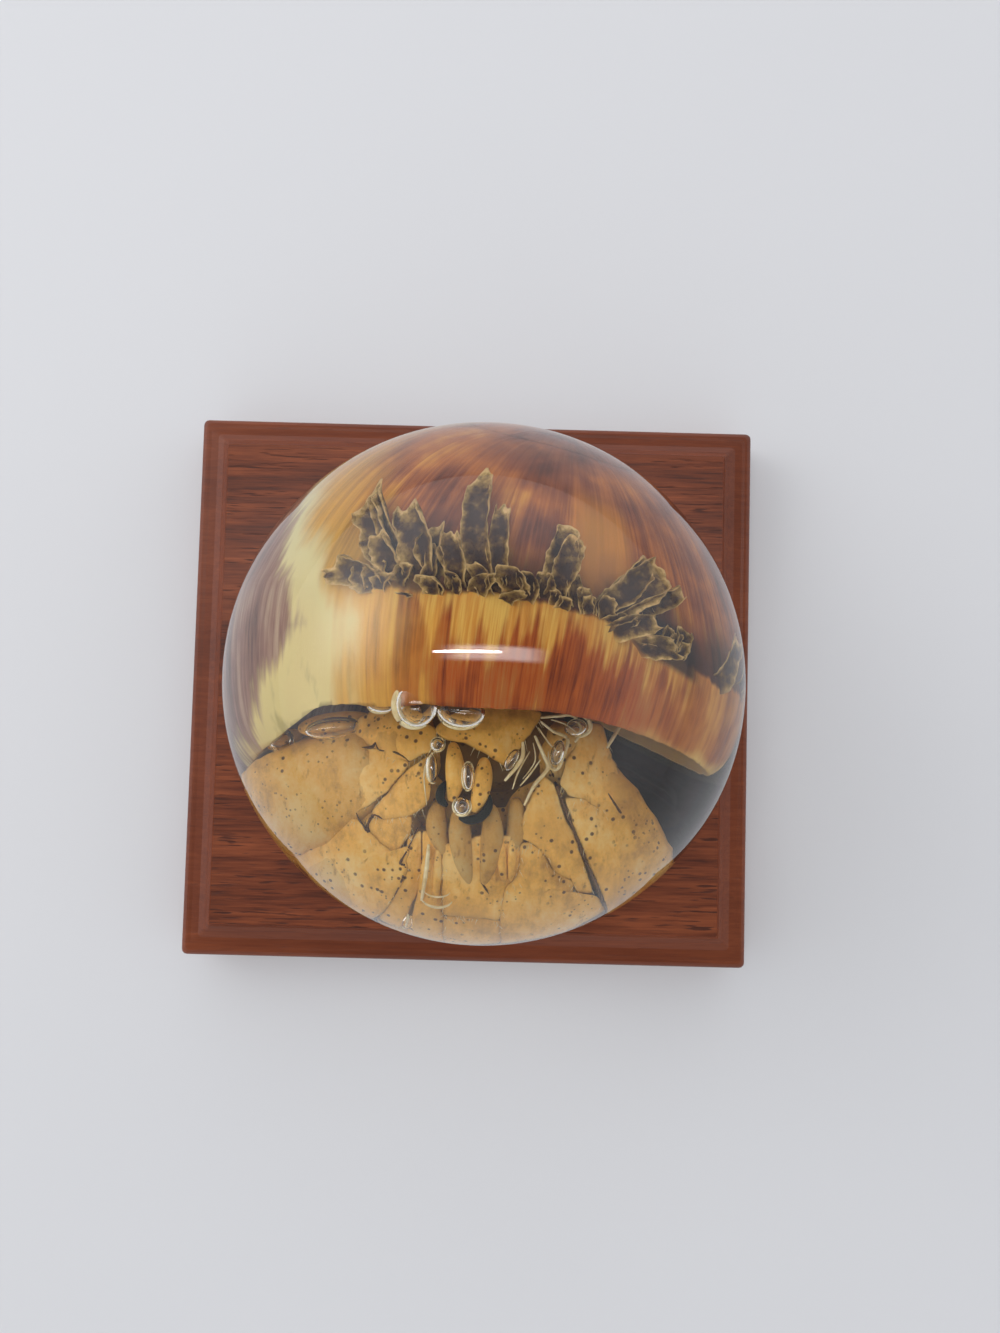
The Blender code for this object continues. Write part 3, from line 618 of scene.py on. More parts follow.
class ShellShader(Shader):
    """The shell's markings, by the angle round its axis and the height from apex to base."""

    def __init__(self, settings):
        super().__init__("turban_shell", roughness=0.36, Specular_IOR_Level=0.12)
        self.settings = settings
        self.growth = self.mark("growth", output=1)
        self.height = self.mark("height")
        self.angle = self.mark("angle")
        self.wide = self.streaks(6.0, 5.0)
        self.tongue = self.streaks(15.0, 1.8, detail=1.5)
        self.streak = self.streaks(48.0, 3.0, detail=5.0, roughness=0.6)
        self.fine = self.streaks(150.0, 9.0)
        # The streaks run together towards the apex
        calm = self.height.step(0.06, 0.34) * 0.75 + 0.25
        mixed = self.wide * 0.40 + self.tongue * 0.36 + self.streak * 0.42 + self.fine * 0.16
        self.tone = (mixed - 0.67) * calm + 0.50

    def streaks(self, around, along, **pattern):
        """Noise by its waves round the shell and along its axis."""
        return self.noise(self.scaled(self.growth, (around, around, along)), **pattern)

    def whorl(self):
        """Streaks below the shoulder, and the flank on the right."""
        settings = self.settings
        band = self.ramp(self.tone, (0.38, settings.dark_brown), (0.50, settings.red_brown),
                         (0.59, (0.44, 0.15, 0.035)), (0.70, settings.ochre))
        # Ochre tongues run down from the shoulder
        reach = self.tongue * 0.50 + self.wide * 0.20 + self.streak * 0.10 + 0.235 - self.height
        yellow = self.mix(self.streak.step(0.40, 0.66), settings.ochre, settings.yellow)
        colour = self.mix(reach.step(-0.04, 0.07) * (0.55 + self.streak * 0.7), band, yellow)
        # The flank is a smoother orange-brown, with an ochre band at the margin
        flank = 1.0 - self.angle.step(30.0, 62.0)
        side = self.ramp(self.wide * 0.7 + self.streak * 0.3, (0.36, (0.30, 0.075, 0.018)),
                         (0.52, (0.60, 0.22, 0.045)), (0.68, (0.84, 0.42, 0.10)))
        colour = self.mix(flank * 0.8, colour, side)
        margin = (self.height + (self.wide - 0.5) * 0.10).step(0.78, 0.84) * flank
        return self.mix(margin * 0.85, colour, (0.93, 0.66, 0.22))

    def crown(self, colour):
        """Duller colours above the shoulder, with painted shade between the scales and in one pit."""
        cloud = self.noise(self.place(), scale=110.0)
        dull = self.ramp(self.tone + (cloud - 0.5) * 0.7, (0.32, (0.12, 0.026, 0.012)),
                         (0.46, (0.29, 0.078, 0.028)), (0.58, (0.52, 0.165, 0.040)),
                         (0.72, (0.80, 0.37, 0.07)))
        # One orange field lies above the shoulder at the right
        field = self.angle.near(72.0, 5.0, 14.0) * self.height.near(0.36, 0.08, 0.20)
        dull = self.mix(field * 0.65, dull, (0.80, 0.34, 0.055))
        above = 1.0 - (self.height + (self.tongue - 0.5) * 0.05).step(0.525, 0.545)
        colour = self.mix(above, colour, dull)
        # Painted shade: the shell is darkened between the roots of the scales
        scale_gap_shade = (self.height + (self.wide - 0.5) * 0.2).step(0.34, 0.50) * above
        colour = self.mix(scale_gap_shade * (0.45 + self.streak * 0.8), colour, (0.050, 0.020, 0.017))
        # Painted shade: one deep dark pit beside the scales at the right
        pit_shade = self.angle.near(46.0, 6.0, 13.0) * self.height.near(0.515, 0.045, 0.075)
        return self.mix(pit_shade * 0.9, colour, (0.022, 0.012, 0.014))

    def lip(self, colour):
        """The cream lip on the left, ochre before it and rough brown beyond it."""
        waver = (self.wide - 0.5) * 26.0 + (self.tongue - 0.5) * 12.0
        above_bend = (LIP_BEND - self.height).at_least(0.0)
        below_bend = (self.height - LIP_BEND).at_least(0.0)
        turn = self.angle + waver - above_bend * 110.0 - below_bend * 28.0
        colour = self.mix(turn.step(104.0, 136.0) * (0.30 + self.streak), colour, (0.82, 0.45, 0.07))
        cream = self.mix(self.wide.step(0.42, 0.62) * 0.55, self.settings.cream, (0.78, 0.50, 0.10))
        cream = self.mix(self.height.step(0.35, 0.70) * 0.45, (0.86, 0.77, 0.42), cream)
        smudge = self.streaks(10.0, 9.0).step(0.58, 0.72)
        cream = self.mix(smudge * 0.6, cream, (0.42, 0.33, 0.12))
        colour = self.mix(turn.step(132.0, 145.0), colour, cream)
        far = self.angle + waver + (self.streak - 0.5) * 12.0 - above_bend * 60.0 - below_bend * 75.0
        rough = self.ramp(self.tone, (0.38, (0.10, 0.045, 0.035)), (0.52, (0.32, 0.16, 0.12)),
                          (0.68, (0.56, 0.40, 0.27)))
        return self.mix(far.step(157.0, 164.0), colour, rough)

    def scales(self, colour, blotch):
        """Olive scales, with painted shade in the trough and a pale edge."""
        rim = self.mark("rim")
        # Low values are painted shade in each scale's trough, high values its own pale edge
        pale_edge_and_trough_shade = rim * (blotch * 1.1 + 0.25) + blotch * 1.3 - 0.52
        olive = self.ramp(pale_edge_and_trough_shade, (0.10, (0.034, 0.012, 0.008)), (0.24, (0.095, 0.045, 0.016)),
                          (0.40, (0.24, 0.140, 0.036)), (0.62, (0.48, 0.31, 0.095)),
                          (0.86, (0.85, 0.60, 0.26)))
        return self.mix(self.mark("scale_part") * (1.0 - rim * 0.15), colour, olive)


def shell_material(settings):
    """Growth streaks in red-brown, ochre and cream, with olive scales."""
    shader = ShellShader(settings)
    blotch = shader.noise(shader.place(), scale=620.0, detail=4.0, roughness=0.6)
    shader.colour(shader.scales(shader.lip(shader.crown(shader.whorl())), blotch))
    shader.bump(shader.streak * 0.5 + shader.fine * 0.3 + blotch * 0.4, FINE_RELIEF, 0.8)
    return shader.material


def dot_mask(shader, place, spacing, size, patch_scale, patch_share):
    """Small dots in loose groups: their spacing in metres, and their size as a share of it."""
    cell = shader.node("ShaderNodeTexVoronoi", None, {"Vector": place, "Scale": 1.0 / spacing})
    group = shader.noise(place, scale=patch_scale, detail=1.0).step(patch_share, patch_share + 0.08)
    return (1.0 - cell.step(size * 0.6, size)) * group


def cuticle_material(settings):
    """Golden tan cuticle with dark dots; browner on the trunk, limbs and mouthparts, with painted shade in
    brown on the plates' sides and in the creases.
    """
    shader = Shader("dried_cuticle", roughness=0.42, Specular_IOR_Level=0.15)
    place = shader.place()
    tone = shader.mark("tone")
    cloud = shader.noise(place, scale=150.0, detail=4.0, roughness=0.6)
    scuff = shader.noise(shader.scaled(place, (900.0, 380.0, 380.0)), detail=4.0, roughness=0.65)
    grain = shader.noise(place, scale=2600.0, detail=3.0)
    tan = shader.ramp(cloud * 0.6 + scuff * 0.3 + grain * 0.1, (0.36, (0.52, 0.26, 0.055)),
                      (0.50, settings.tan), (0.62, (0.92, 0.62, 0.22)))
    warm = shader.noise(place, scale=85.0, detail=1.0).step(0.50, 0.66)
    tan = shader.mix(warm * 0.45, tan, (0.80, 0.42, 0.07))
    dots = dot_mask(shader, place, settings.dot_spacing * 0.6, 0.25, 120.0, 0.47)
    specks = dot_mask(shader, place, settings.dot_spacing * 0.4, 0.22, 210.0, 0.50)
    dots = 1.0 - (1.0 - dots) * (1.0 - specks * 0.7)
    colour = shader.mix(dots * 0.9, tan, (0.085, 0.034, 0.014))
    stain = (1.0 - scuff.step(0.30, 0.44)) * cloud.step(0.45, 0.6)
    colour = shader.mix(stain * 0.55, colour, (0.30, 0.15, 0.045))
    # The tone mark mixes in this brown: painted shade on the plates' sides and in the creases
    shader.colour(shader.mix(tone, settings.seam, colour))
    shader.bump(cloud * 0.4 + scuff * 0.5 + grain * 0.2 - dots * 0.4, FINE_RELIEF, 0.7)
    return shader.material


def cornea_material():
    """Black eyes with a faint gleam."""
    shader = Shader("black_cornea", roughness=0.3, Specular_IOR_Level=0.1)
    gleam = shader.noise(shader.place(), scale=900.0, detail=2.0)
    shader.colour(shader.ramp(gleam, (0.35, (0.002, 0.003, 0.002)), (0.75, (0.010, 0.013, 0.006))))
    return shader.material


def hair_material():
    """Pale golden strands, banded along their length."""
    shader = Shader("pale_bristle", roughness=0.35, Coat_Weight=0.3)
    bands = shader.noise(shader.place(), scale=700.0, detail=2.0)
    shader.colour(shader.ramp(bands, (0.3, (0.74, 0.54, 0.22)), (0.7, (0.95, 0.85, 0.55))))
    return shader.material


class Shape:
    """A mesh under construction: points in millimetres, faces, and values at the points."""

    def __init__(self, *marks):
        self.points = []
        self.faces = []
        self.slots = []
        self.marks = {name: {} for name in marks}

    def add(self, point, **values):
        """Adds a point with its values, and gives its number."""
        self.points.append(point)
        for name, value in values.items():
            self.marks[name][len(self.points) - 1] = value
        return len(self.points) - 1

    def face(self, corners, slot=0):
        self.faces.append(corners)
        self.slots.append(slot)

    def ring(self, middle, across, above, sides, **values):
        """A closed loop of points on an ellipse, by its middle and its half axes."""
        turns = [TAU * i / sides for i in range(sides)]
        return [self.add(middle + across * math.cos(turn) + above * math.sin(turn), **values)
                for turn in turns]

    def skin(self, loops, slot=0, caps=True):
        """Joins closed loops of equal length in order, and caps both ends."""
        for near, far in zip(loops, loops[1:]):
            for i in range(len(near)):
                j = (i + 1) % len(near)
                self.face((near[i], near[j], far[j], far[i]), slot)
        if caps:
            self.face(tuple(reversed(loops[0])), slot)
            self.face(tuple(loops[-1]), slot)

    def fan(self, loop, tip):
        """Closes a loop with triangles to one point."""
        for here, following in zip(loop, loop[1:] + loop[:1]):
            self.face((here, following, tip))

    def mesh(self, name):
        """The finished mesh in metres, with its values as attributes."""
        data = bpy.data.meshes.new(name)
        data.from_pydata([BALL_CENTRE + point * MM for point in self.points], [], self.faces)
        for label, values in self.marks.items():
            vector = any(isinstance(value, Vector) for value in values.values())
            layer = data.attributes.new(label, "FLOAT_VECTOR" if vector else "FLOAT", "POINT")
            for index, value in values.items():
                if vector:
                    layer.data[index].vector = value
                else:
                    layer.data[index].value = value
        data.polygons.foreach_set("material_index", self.slots)
        data.shade_smooth()
        return data


def add_object(name, data):
    """An object in the scene, with its mesh, light or camera."""
    item = bpy.data.objects.new(name, data)
    bpy.context.scene.collection.objects.link(item)
    return item


def add_piece(name, data, slot, *materials):
    """An object of the part, riding on its one body."""
    for material in materials:
        data.materials.append(material)
    piece = add_object(name, data)
    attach(piece, "root")
    return piece


def face_out(data):
    """Turns every closed part of a mesh to face out."""
    work = bmesh.new()
    work.from_mesh(data)
    bmesh.ops.recalc_face_normals(work, faces=work.faces)
    work.to_mesh(data)
    work.free()


def wander(x, y=0.0, z=0.0):
    """Smooth noise from about -1 to 1 at a place."""
    return noise.noise(Vector((x, y, z)))


def between(start, end, share):
    """The value at a share of the way from start to end."""
    return start + (end - start) * share


def rising(value, start, width):
    """0 up to the start, 1 beyond the width, and straight between."""
    return min(max((value - start) / width, 0.0), 1.0)


def swelling(count, ends):
    """Shares along a strand: 1 in its middle, and least at its ends."""
    return [math.sin(math.pi * (ends + (1.0 - 2.0 * ends) * i / (count - 1))) for i in range(count)]


def smooth_line(points, steps=COURSE_STEPS):
    """A smooth course through the points, with a number of steps between each two."""
    ends = [points[0], *points, points[-1]]
    course = []
    for around in zip(ends, ends[1:], ends[2:], ends[3:]):
        for i in range(steps):
            t = i / steps
            weights = (-0.5 * t + t * t - 0.5 * t ** 3, 1.0 - 2.5 * t * t + 1.5 * t ** 3,
                       0.5 * t + 2.0 * t * t - 1.5 * t ** 3, -0.5 * t * t + 0.5 * t ** 3)
            course.append(tuple(sum(weight * part for weight, part in zip(weights, parts))
                                for parts in zip(*around)))
    course.append(points[-1])
    return course


def squared(value, power):
    """A sine or cosine that makes a round section squarer."""
    return math.copysign(abs(value) ** power, value)


def limb(shape, joints, tone, lumps):
    """Segments of a limb: a blunt loft between each two joints, with lumps of some height."""
    for (start, *start_size), (end, *end_size) in zip(joints, joints[1:]):
        start = Vector(start)
        end = Vector(end)
        along = (end - start).normalized()
        # A steep segment's section is turned by the front, and a flat one's by the top
        up = Vector((0.0, -1.0, 0.3)) if abs(along.z) > 0.8 else Vector((0.0, 0.0, 1.0))
        side = along.cross(up).normalized()
        above = side.cross(along).normalized()
        loops = []
        for step in range(LIMB_RINGS):
            share = step / (LIMB_RINGS - 1)
            turn = math.pi * (0.03 + 0.94 * share)
            closing = math.sin(turn) ** LIMB_BLUNT
            middle = start + (end - start) * (0.5 - 0.5 * math.cos(turn))
            width, thick = (between(first, last, share) / 2 * closing
                            for first, last in zip(start_size, end_size))
            loop = []
            for i in range(LIMB_SIDES):
                angle = TAU * i / LIMB_SIDES
                offset = side * width * squared(math.cos(angle), LIMB_SQUARE)
                offset += above * thick * squared(math.sin(angle), LIMB_SQUARE)
                point = middle + offset
                point += offset.normalized() * lumps * noise.noise(point * 0.45)
                loop.append(shape.add(point, tone=tone))
            loops.append(loop)
        shape.skin(loops)


def bent_limb(shape, joints, tone, slot=0, sides=18):
    """One smooth tapering loft through all joints, for eyestalks, corneas and jaws."""
    course = smooth_line([(*place, width, thick) for place, width, thick in joints])
    loops = []
    for index, (*place, width, thick) in enumerate(course):
        before = Vector(course[max(index - 1, 0)][:3])
        after = Vector(course[min(index + 1, len(course) - 1)][:3])
        along = (after - before).normalized()
        side = along.cross(Vector((0.0, 0.0, 1.0))).normalized()
        above = side.cross(along).normalized()
        share = index / (len(course) - 1)
        closing = max(0.12, math.sin(math.pi * (0.02 + 0.96 * share)) ** 0.4)
        loops.append(shape.ring(Vector(place), side * (width / 2 * closing), above * (thick / 2 * closing),
                                sides, tone=tone))
    shape.skin(loops, slot)


def ellipsoid(shape, middle, radii, turn=0.0, inward=False, **values):
    """A closed ellipsoid, facing in where it is a bubble."""
    across, above, up = (Matrix.Rotation(math.radians(turn), 3, "Z") @ Matrix.Diagonal(radii)).col
    loops = []
    for step in range(1, ELLIPSOID_RINGS):
        low = math.pi * step / ELLIPSOID_RINGS
        level = Vector(middle) - up * math.cos(low)
        loop = shape.ring(level, across * math.sin(low), above * math.sin(low), ELLIPSOID_SIDES, **values)
        loops.append(loop[::-1] if inward else loop)
    shape.skin(loops)


def over_dome(x, y, height):
    """A place at a height over the dome of the crab's front."""
    dome = max(DOME_TOP - DOME_FALL * (x * x + (y - DOME_Y) ** 2), DOME_LOWEST)
    return Vector((x, y, dome + height))


def whorl_size(angle):
    """Size of the whorl at an angle round the axis, 1 over the back."""
    size = WHORL_GROWTH ** ((min(angle, LIP_ANGLE) - CROWN_ANGLE) / 360.0)
    if angle > LIP_ANGLE:
        small = WHORL_GROWTH ** ((FIRST_ANGLE - CROWN_ANGLE) / 360.0)
        size = between(size, small, (angle - LIP_ANGLE) / LIP_CLOSING)
    return size


def flare(angle):
    """How far the outer lip opens beyond the spiral, as a factor on the radius."""
    opening = rising(angle, *FLARE_OPENING)
    closing = rising(angle, *FLARE_CLOSING)
    return 1.0 + LIP_FLARE * opening * opening * (3.0 - 2.0 * opening) * (1.0 - closing)


def sag(x):
    """How far the whorl hangs down towards the crab."""
    return RIGHT_SAG * max(0.0, x - RIGHT_SAG_X) ** 2 + LEFT_SAG * max(0.0, LEFT_SAG_X - x) ** 2


def shell_point(angle, along, radius):
    """Point at a distance from the apex and from the axis."""
    turn = math.radians(angle)
    side = SHELL_AXIS[0] + radius * math.cos(turn) - TURN_CENTRE[0]
    back = APEX_Y - along - TURN_CENTRE[1]
    x = TURN_CENTRE[0] + side * math.cos(SHELL_TURN) - back * math.sin(SHELL_TURN)
    y = TURN_CENTRE[1] + side * math.sin(SHELL_TURN) + back * math.cos(SHELL_TURN)
    return Vector((x, y - sag(x), SHELL_AXIS[1] + radius * math.sin(turn)))


def shell_place(point):
    """Angle, distance from the apex and from the axis of a point: shell_point in reverse."""
    x = point.x - TURN_CENTRE[0]
    y = point.y + sag(point.x) - TURN_CENTRE[1]
    side = x * math.cos(SHELL_TURN) + y * math.sin(SHELL_TURN) + TURN_CENTRE[0] - SHELL_AXIS[0]
    back = -x * math.sin(SHELL_TURN) + y * math.cos(SHELL_TURN) + TURN_CENTRE[1]
    up = point.z - SHELL_AXIS[1]
    angle = math.degrees(math.atan2(up, side))
    if angle < FIRST_ANGLE:
        angle += 360.0
    return angle, APEX_Y - back, math.hypot(side, up)


def outline_radius(along):
    """Radius of the whorl's outline at a distance from the apex."""
    for (a0, r0), (a1, r1) in zip(WHORL_OUTLINE, WHORL_OUTLINE[1:]):
        if along <= a1:
            return between(r0, r1, (along - a0) / (a1 - a0))
    return WHORL_OUTLINE[-1][1]


def shell_body():
    """Closed skin of all whorls, from the base up to the apex."""
    shape = Shape()
    angles = [FIRST_ANGLE + 360.0 * (i + 1) / SHELL_SIDES for i in range(SHELL_SIDES)]
    stations = [(0, along, radius) for along, radius in reversed(smooth_line(WHORL_OUTLINE, steps=5))]
    for whorl in range(1, SPIRE_WHORLS + 1):
        for along, radius in reversed(smooth_line(WHORL_OUTLINE[:SPIRE_POINTS], steps=5)):
            stations.append((whorl, along, radius))
    loops = []
    for whorl, along, radius in stations:
        loop = []
        for angle in angles:
            size = whorl_size(angle) / WHORL_GROWTH ** whorl
            loop.append(shape.add(shell_point(angle, along * size, radius * size * flare(angle))))
        loops.append(loop)
    shape.skin(loops)
    return shape.mesh("shell_body")


def mouth_cutter():
    """Trumpet that hollows the last whorl."""
    shape = Shape()
    loops = []
    for y, x, z, half_width, half_height in smooth_line(MOUTH_STATIONS, steps=6):
        loop = []
        for i in range(MOUTH_SIDES):
            turn = TAU * i / MOUTH_SIDES
            px = x + half_width * math.cos(turn)
            drop = LIP_DROP * rising(-px, *DROP_STRETCH)
            loop.append(shape.add(Vector((px, y - sag(px) - drop, z + half_height * math.sin(turn)))))
        loops.append(loop)
    shape.skin(loops)
    return shape.mesh("mouth_cutter")


def hollowed(body, cutter):
    """The body's mesh with the cutter's form taken out of it."""
    for data in (body, cutter):
        face_out(data)
    target = add_object("body", body)
    tool = add_object("cutter", cutter)
    cut = target.modifiers.new("mouth", "BOOLEAN")
    cut.operation = "DIFFERENCE"
    cut.solver = "EXACT"
    cut.object = tool
    result = bpy.data.meshes.new_from_object(target.evaluated_get(bpy.context.evaluated_depsgraph_get()))
    for item in (target, tool):
        bpy.data.objects.remove(item, do_unlink=True)
    return result


def ridge(angle, height):
    """Growth ridges of the whorl, from -1 to 1: broad ones, with finer ones on them."""
    turn = math.radians(angle)
    around = Vector((math.cos(turn), math.sin(turn), height * 0.4))
    return 0.6 * noise.noise(around * 22.0) + 0.4 * noise.noise(around * 60.0)


def scale_place(row, u, v, seed):
    """Place on a scale: u runs from its root to its tip, and v across it from -1 to 1."""
    root_angle, root_along, tip_angle, tip_along, lift, half_width = row
    u *= 1.0 + 0.14 * wander(v * 2.3, seed * 5.17) - 0.12 * v * v
    bend = 2.6 * wander(seed * 3.31, 1.7)
    angle = between(root_angle, tip_angle, u) + bend * math.sin(math.pi * u)
    along = between(root_along, tip_along, u)
    size = whorl_size(angle)
    turn = math.radians(angle)
    outward = Vector((math.cos(turn), 0.0, math.sin(turn)))
    base = shell_point(angle, along * size, outline_radius(along) * size)
    ahead = shell_point(angle + (tip_angle - root_angle) * 0.05, (along - 0.5) * size,
                        outline_radius(along - 0.5) * size)
    forward = (ahead - base).normalized()
    sideways = forward.cross(outward).normalized()
    # The trough closes towards the tip, where its edges curl in
    opening = math.radians(58.0 + 66.0 * u * u)
    spread = half_width * (0.75 + 0.45 * math.sin(math.pi * min(0.08 + 0.8 * u, 1.0)))
    spread *= 1.0 + 0.30 * wander(u * 4.0, seed * 2.9, v * 0.8)
    spread *= 1.0 + 0.16 * abs(v) * wander(u * 13.0, seed * 4.3, v)
    around = v * opening
    across = spread * math.sin(around) / math.sin(min(opening, math.pi / 2))
    rise = lift * u ** 0.8 - 1.2 * (1.0 - u) ** 5
    rise += spread * (1.0 - math.cos(around)) * 0.75
    flutes = 0.14 * math.sin(v * 7.0 + seed) * u + 0.60 * wander(u * 3.6, v * 1.2, seed * 7.31)
    folds = 0.12 * wander(u * 10.0, v * 3.5, seed * 1.73)
    place = base + sideways * (across + 0.5 * folds) + outward * (rise + flutes + folds)
    return place, outward, angle, along


def scale(shape, row, thickness, seed, steps, across):
    """One fluted scale: a trough with raised pale edges, closed all round."""
    grids = ([], [])
    for i in range(steps + 1):
        u = i / steps
        for grid in grids:
            grid.append([])
        for j in range(across + 1):
            v = 2.0 * j / across - 1.0
            place, outward, angle, along = scale_place(row, u, v, seed)
            turn = math.radians(angle)
            edge = max(abs(v) ** 2.6, u ** 9)
            # The skin is thinner at the edges
            skin = thickness * (1.0 - 0.6 * edge)
            for grid, depth in zip(grids, (0.0, skin)):
                grid[i].append(shape.add(
                    place - outward * depth, rim=edge, scale_part=min(1.0, u * 5.0), angle=angle,
                    height=along / BASE_DEPTH,
                    growth=Vector((math.cos(turn), math.sin(turn), along / BASE_DEPTH))))
    top, bottom = grids
    for i in range(steps):
        for j in range(across):
            shape.face((top[i][j], top[i][j + 1], top[i + 1][j + 1], top[i + 1][j]))
            shape.face((bottom[i][j], bottom[i + 1][j], bottom[i + 1][j + 1], bottom[i][j + 1]))
        shape.face((top[i][0], top[i + 1][0], bottom[i + 1][0], bottom[i][0]))
        shape.face((top[i][-1], bottom[i][-1], bottom[i + 1][-1], top[i + 1][-1]))
    for j in range(across):
        shape.face((top[0][j], bottom[0][j], bottom[0][j + 1], top[0][j + 1]))
        shape.face((top[-1][j], top[-1][j + 1], bottom[-1][j + 1], bottom[-1][j]))


def knots():
    """Small crumpled scales between the roots of the large ones, as rows like theirs."""
    rows = []
    for index in range(KNOT_COUNT):
        angle = KNOT_START - KNOT_STEP * index + 4.0 * wander(index * 1.37, 0.5)
        lean = 16.0 * wander(index * 2.11, 4.0)
        length = 3.4 + 5.0 * wander(index * 0.73, 8.0)
        root = min(27.6 + 2.2 * wander(index * 0.91, 2.0), KNOT_ROOT_LIMIT)
        half_width = 1.0 + 0.9 * wander(index * 0.57, 0.0, 5.0)
        rows.append((angle, root, angle + lean, root - length, 1.6, half_width))
    return [row for row in rows if not KNOT_GAP[0] < row[0] < KNOT_GAP[1]]


def plate(shape, outline, height, thickness, crown, seed):
    """One plate of the cuticle: a low cushion with a worn outline, on the dome."""
    corners = [Vector(corner) for corner in outline]
    middle = sum(corners, Vector((0.0, 0.0))) / len(corners)
    course = []
    for here, following in zip(corners, corners[1:] + corners[:1]):
        steps = max(2, round((following - here).length / PLATE_STEP))
        course += [here.lerp(following, i / steps) for i in range(steps)]
    # The corners are worn round, and the edge runs a little unevenly
    for _ in range(2):
        course = [(before + here * 2.0 + after) / 4.0
                  for before, here, after in zip(course[-1:] + course, course, course[1:] + course[:1])]
    uneven = []
    for point in course:
        waves = sum(depth * wander(point.x * rate, point.y * rate, seed * rate) for depth, rate in EDGE_WAVES)
        uneven.append(point + (point - middle).normalized() * (PLATE_OVERLAP + waves))
    # Rings from the hidden foot over the edge: inset and depth in mm, and share of the way out
    rings = [(1.2, thickness, 1.0), (0.35, thickness * 0.6, 1.0), (0.06, 1.3, 1.0), (0.0, 0.55, 1.0),
             (0.05, 0.26, 1.0), (0.20, 0.08, 1.0), (0.45, 0.02, 1.0), (0.8, 0.0, 1.0)]
    rings += [(0.8, 0.0, 1.0 - 0.06 * i) for i in range(1, 16)]
    loops = []
    for inset, depth, share in rings:
        loop = []
        for point in uneven:
            arm = point - middle
            flat = middle + (arm - arm.normalized() * inset) * share
            dents = sum(deep * wander(flat.x * rate, flat.y * rate, seed) for deep, rate in DENTS)
            swell = crown * (1.0 - share ** 2)
            # Painted shade: the plate's sides turn brown the deeper they lie below its top, for the gaps
            # between plates
            tone = 0.10 if depth > 0.5 else 1.0 - 0.9 * depth ** 0.7
            loop.append(shape.add(over_dome(flat.x, flat.y, height + swell + dents - depth), tone=tone))
        loops.append(loop)
    shape.skin(loops)


def surface_finder(shape):
    """Gives a function for the height of the crab's skin at a place, seen from above."""
    # The trunk, the mouthparts and the sides of the plates have a darker tone and don't count
    marked = shape.marks["tone"]
    tops = [(index, point) for index, point in enumerate(shape.points) if marked.get(index, 0.0) > 0.6]
    tree = KDTree(len(tops))
    for index, point in tops:
        tree.insert((point.x, point.y, 0.0), index)
    tree.balance()

    def height(x, y):
        near = tree.find_n((x, y, 0.0), 6)
        reach = near[0][2] + 0.4
        return max(shape.points[index].z for _, index, distance in near if distance <= reach)

    return height


def tube(shape, course, radii, sides=8, **values):
    """A thin round strand along a course of places."""
    loops = []
    for index, place in enumerate(course):
        before = course[max(index - 1, 0)]
        after = course[min(index + 1, len(course) - 1)]
        along = (after - before).normalized()
        side = along.orthogonal().normalized()
        above = along.cross(side)
        loops.append(shape.ring(place, side * radii[index], above * radii[index], sides, **values))
    shape.skin(loops)


class PAPERWEIGHT_OT_plinth(bpy.types.Operator):
    """Finish the plinth and the black disc under the ball"""

    bl_idname = "paperweight.plinth"
    bl_label = "Plinth and backing"

    def execute(self, context):
        finishes = {"plinth": wood_material(context.scene.plinth_settings), "backing_disc": felt_material()}
        for node, material in finishes.items():
            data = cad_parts[node].data
            data.materials.clear()
            data.materials.append(material)
        return {"FINISHED"}


class PAPERWEIGHT_OT_shell(bpy.types.Operator):
    """Make the turban shell with its growth ridges and its crown of scales"""

    bl_idname = "paperweight.shell"
    bl_label = "Shell"

    def execute(self, context):
        settings = context.scene.shell_settings
        body = hollowed(shell_body(), mouth_cutter())
        if len(body.vertices) == 0:
            raise RuntimeError("the shell's mouth was not cut")
        shape = Shape("growth", "height", "angle", "rim", "scale_part")
        for vertex in body.vertices:
            point = (vertex.co - BALL_CENTRE) / MM
            angle, along, radius = shell_place(point)
            size = whorl_size(angle)
            height = along / size / BASE_DEPTH
            turn = math.radians(angle)
            # Deep in the hollow, near the axis, the skin stays smooth
            if radius > 0.5 * outline_radius(height * BASE_DEPTH) * size:
                point += vertex.normal * ridge(angle, height) * settings.ridge_height / MM
            growth = Vector((math.cos(turn), math.sin(turn), height))
            shape.add(point, growth=growth, height=height, angle=angle, rim=0.0, scale_part=0.0)
        for polygon in body.polygons:
            shape.face(tuple(polygon.vertices))
        for seed, row in enumerate((*SCALES, *knots())):
            detail = SCALE_GRID if seed < len(SCALES) else KNOT_GRID
            scale(shape, row, settings.scale_thickness / MM, seed, *detail)
        data = shape.mesh("turban_shell")
        face_out(data)
        piece = add_piece("turban_shell", data, "turban_shell", shell_material(settings))
        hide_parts("shell")
        return {"FINISHED"}


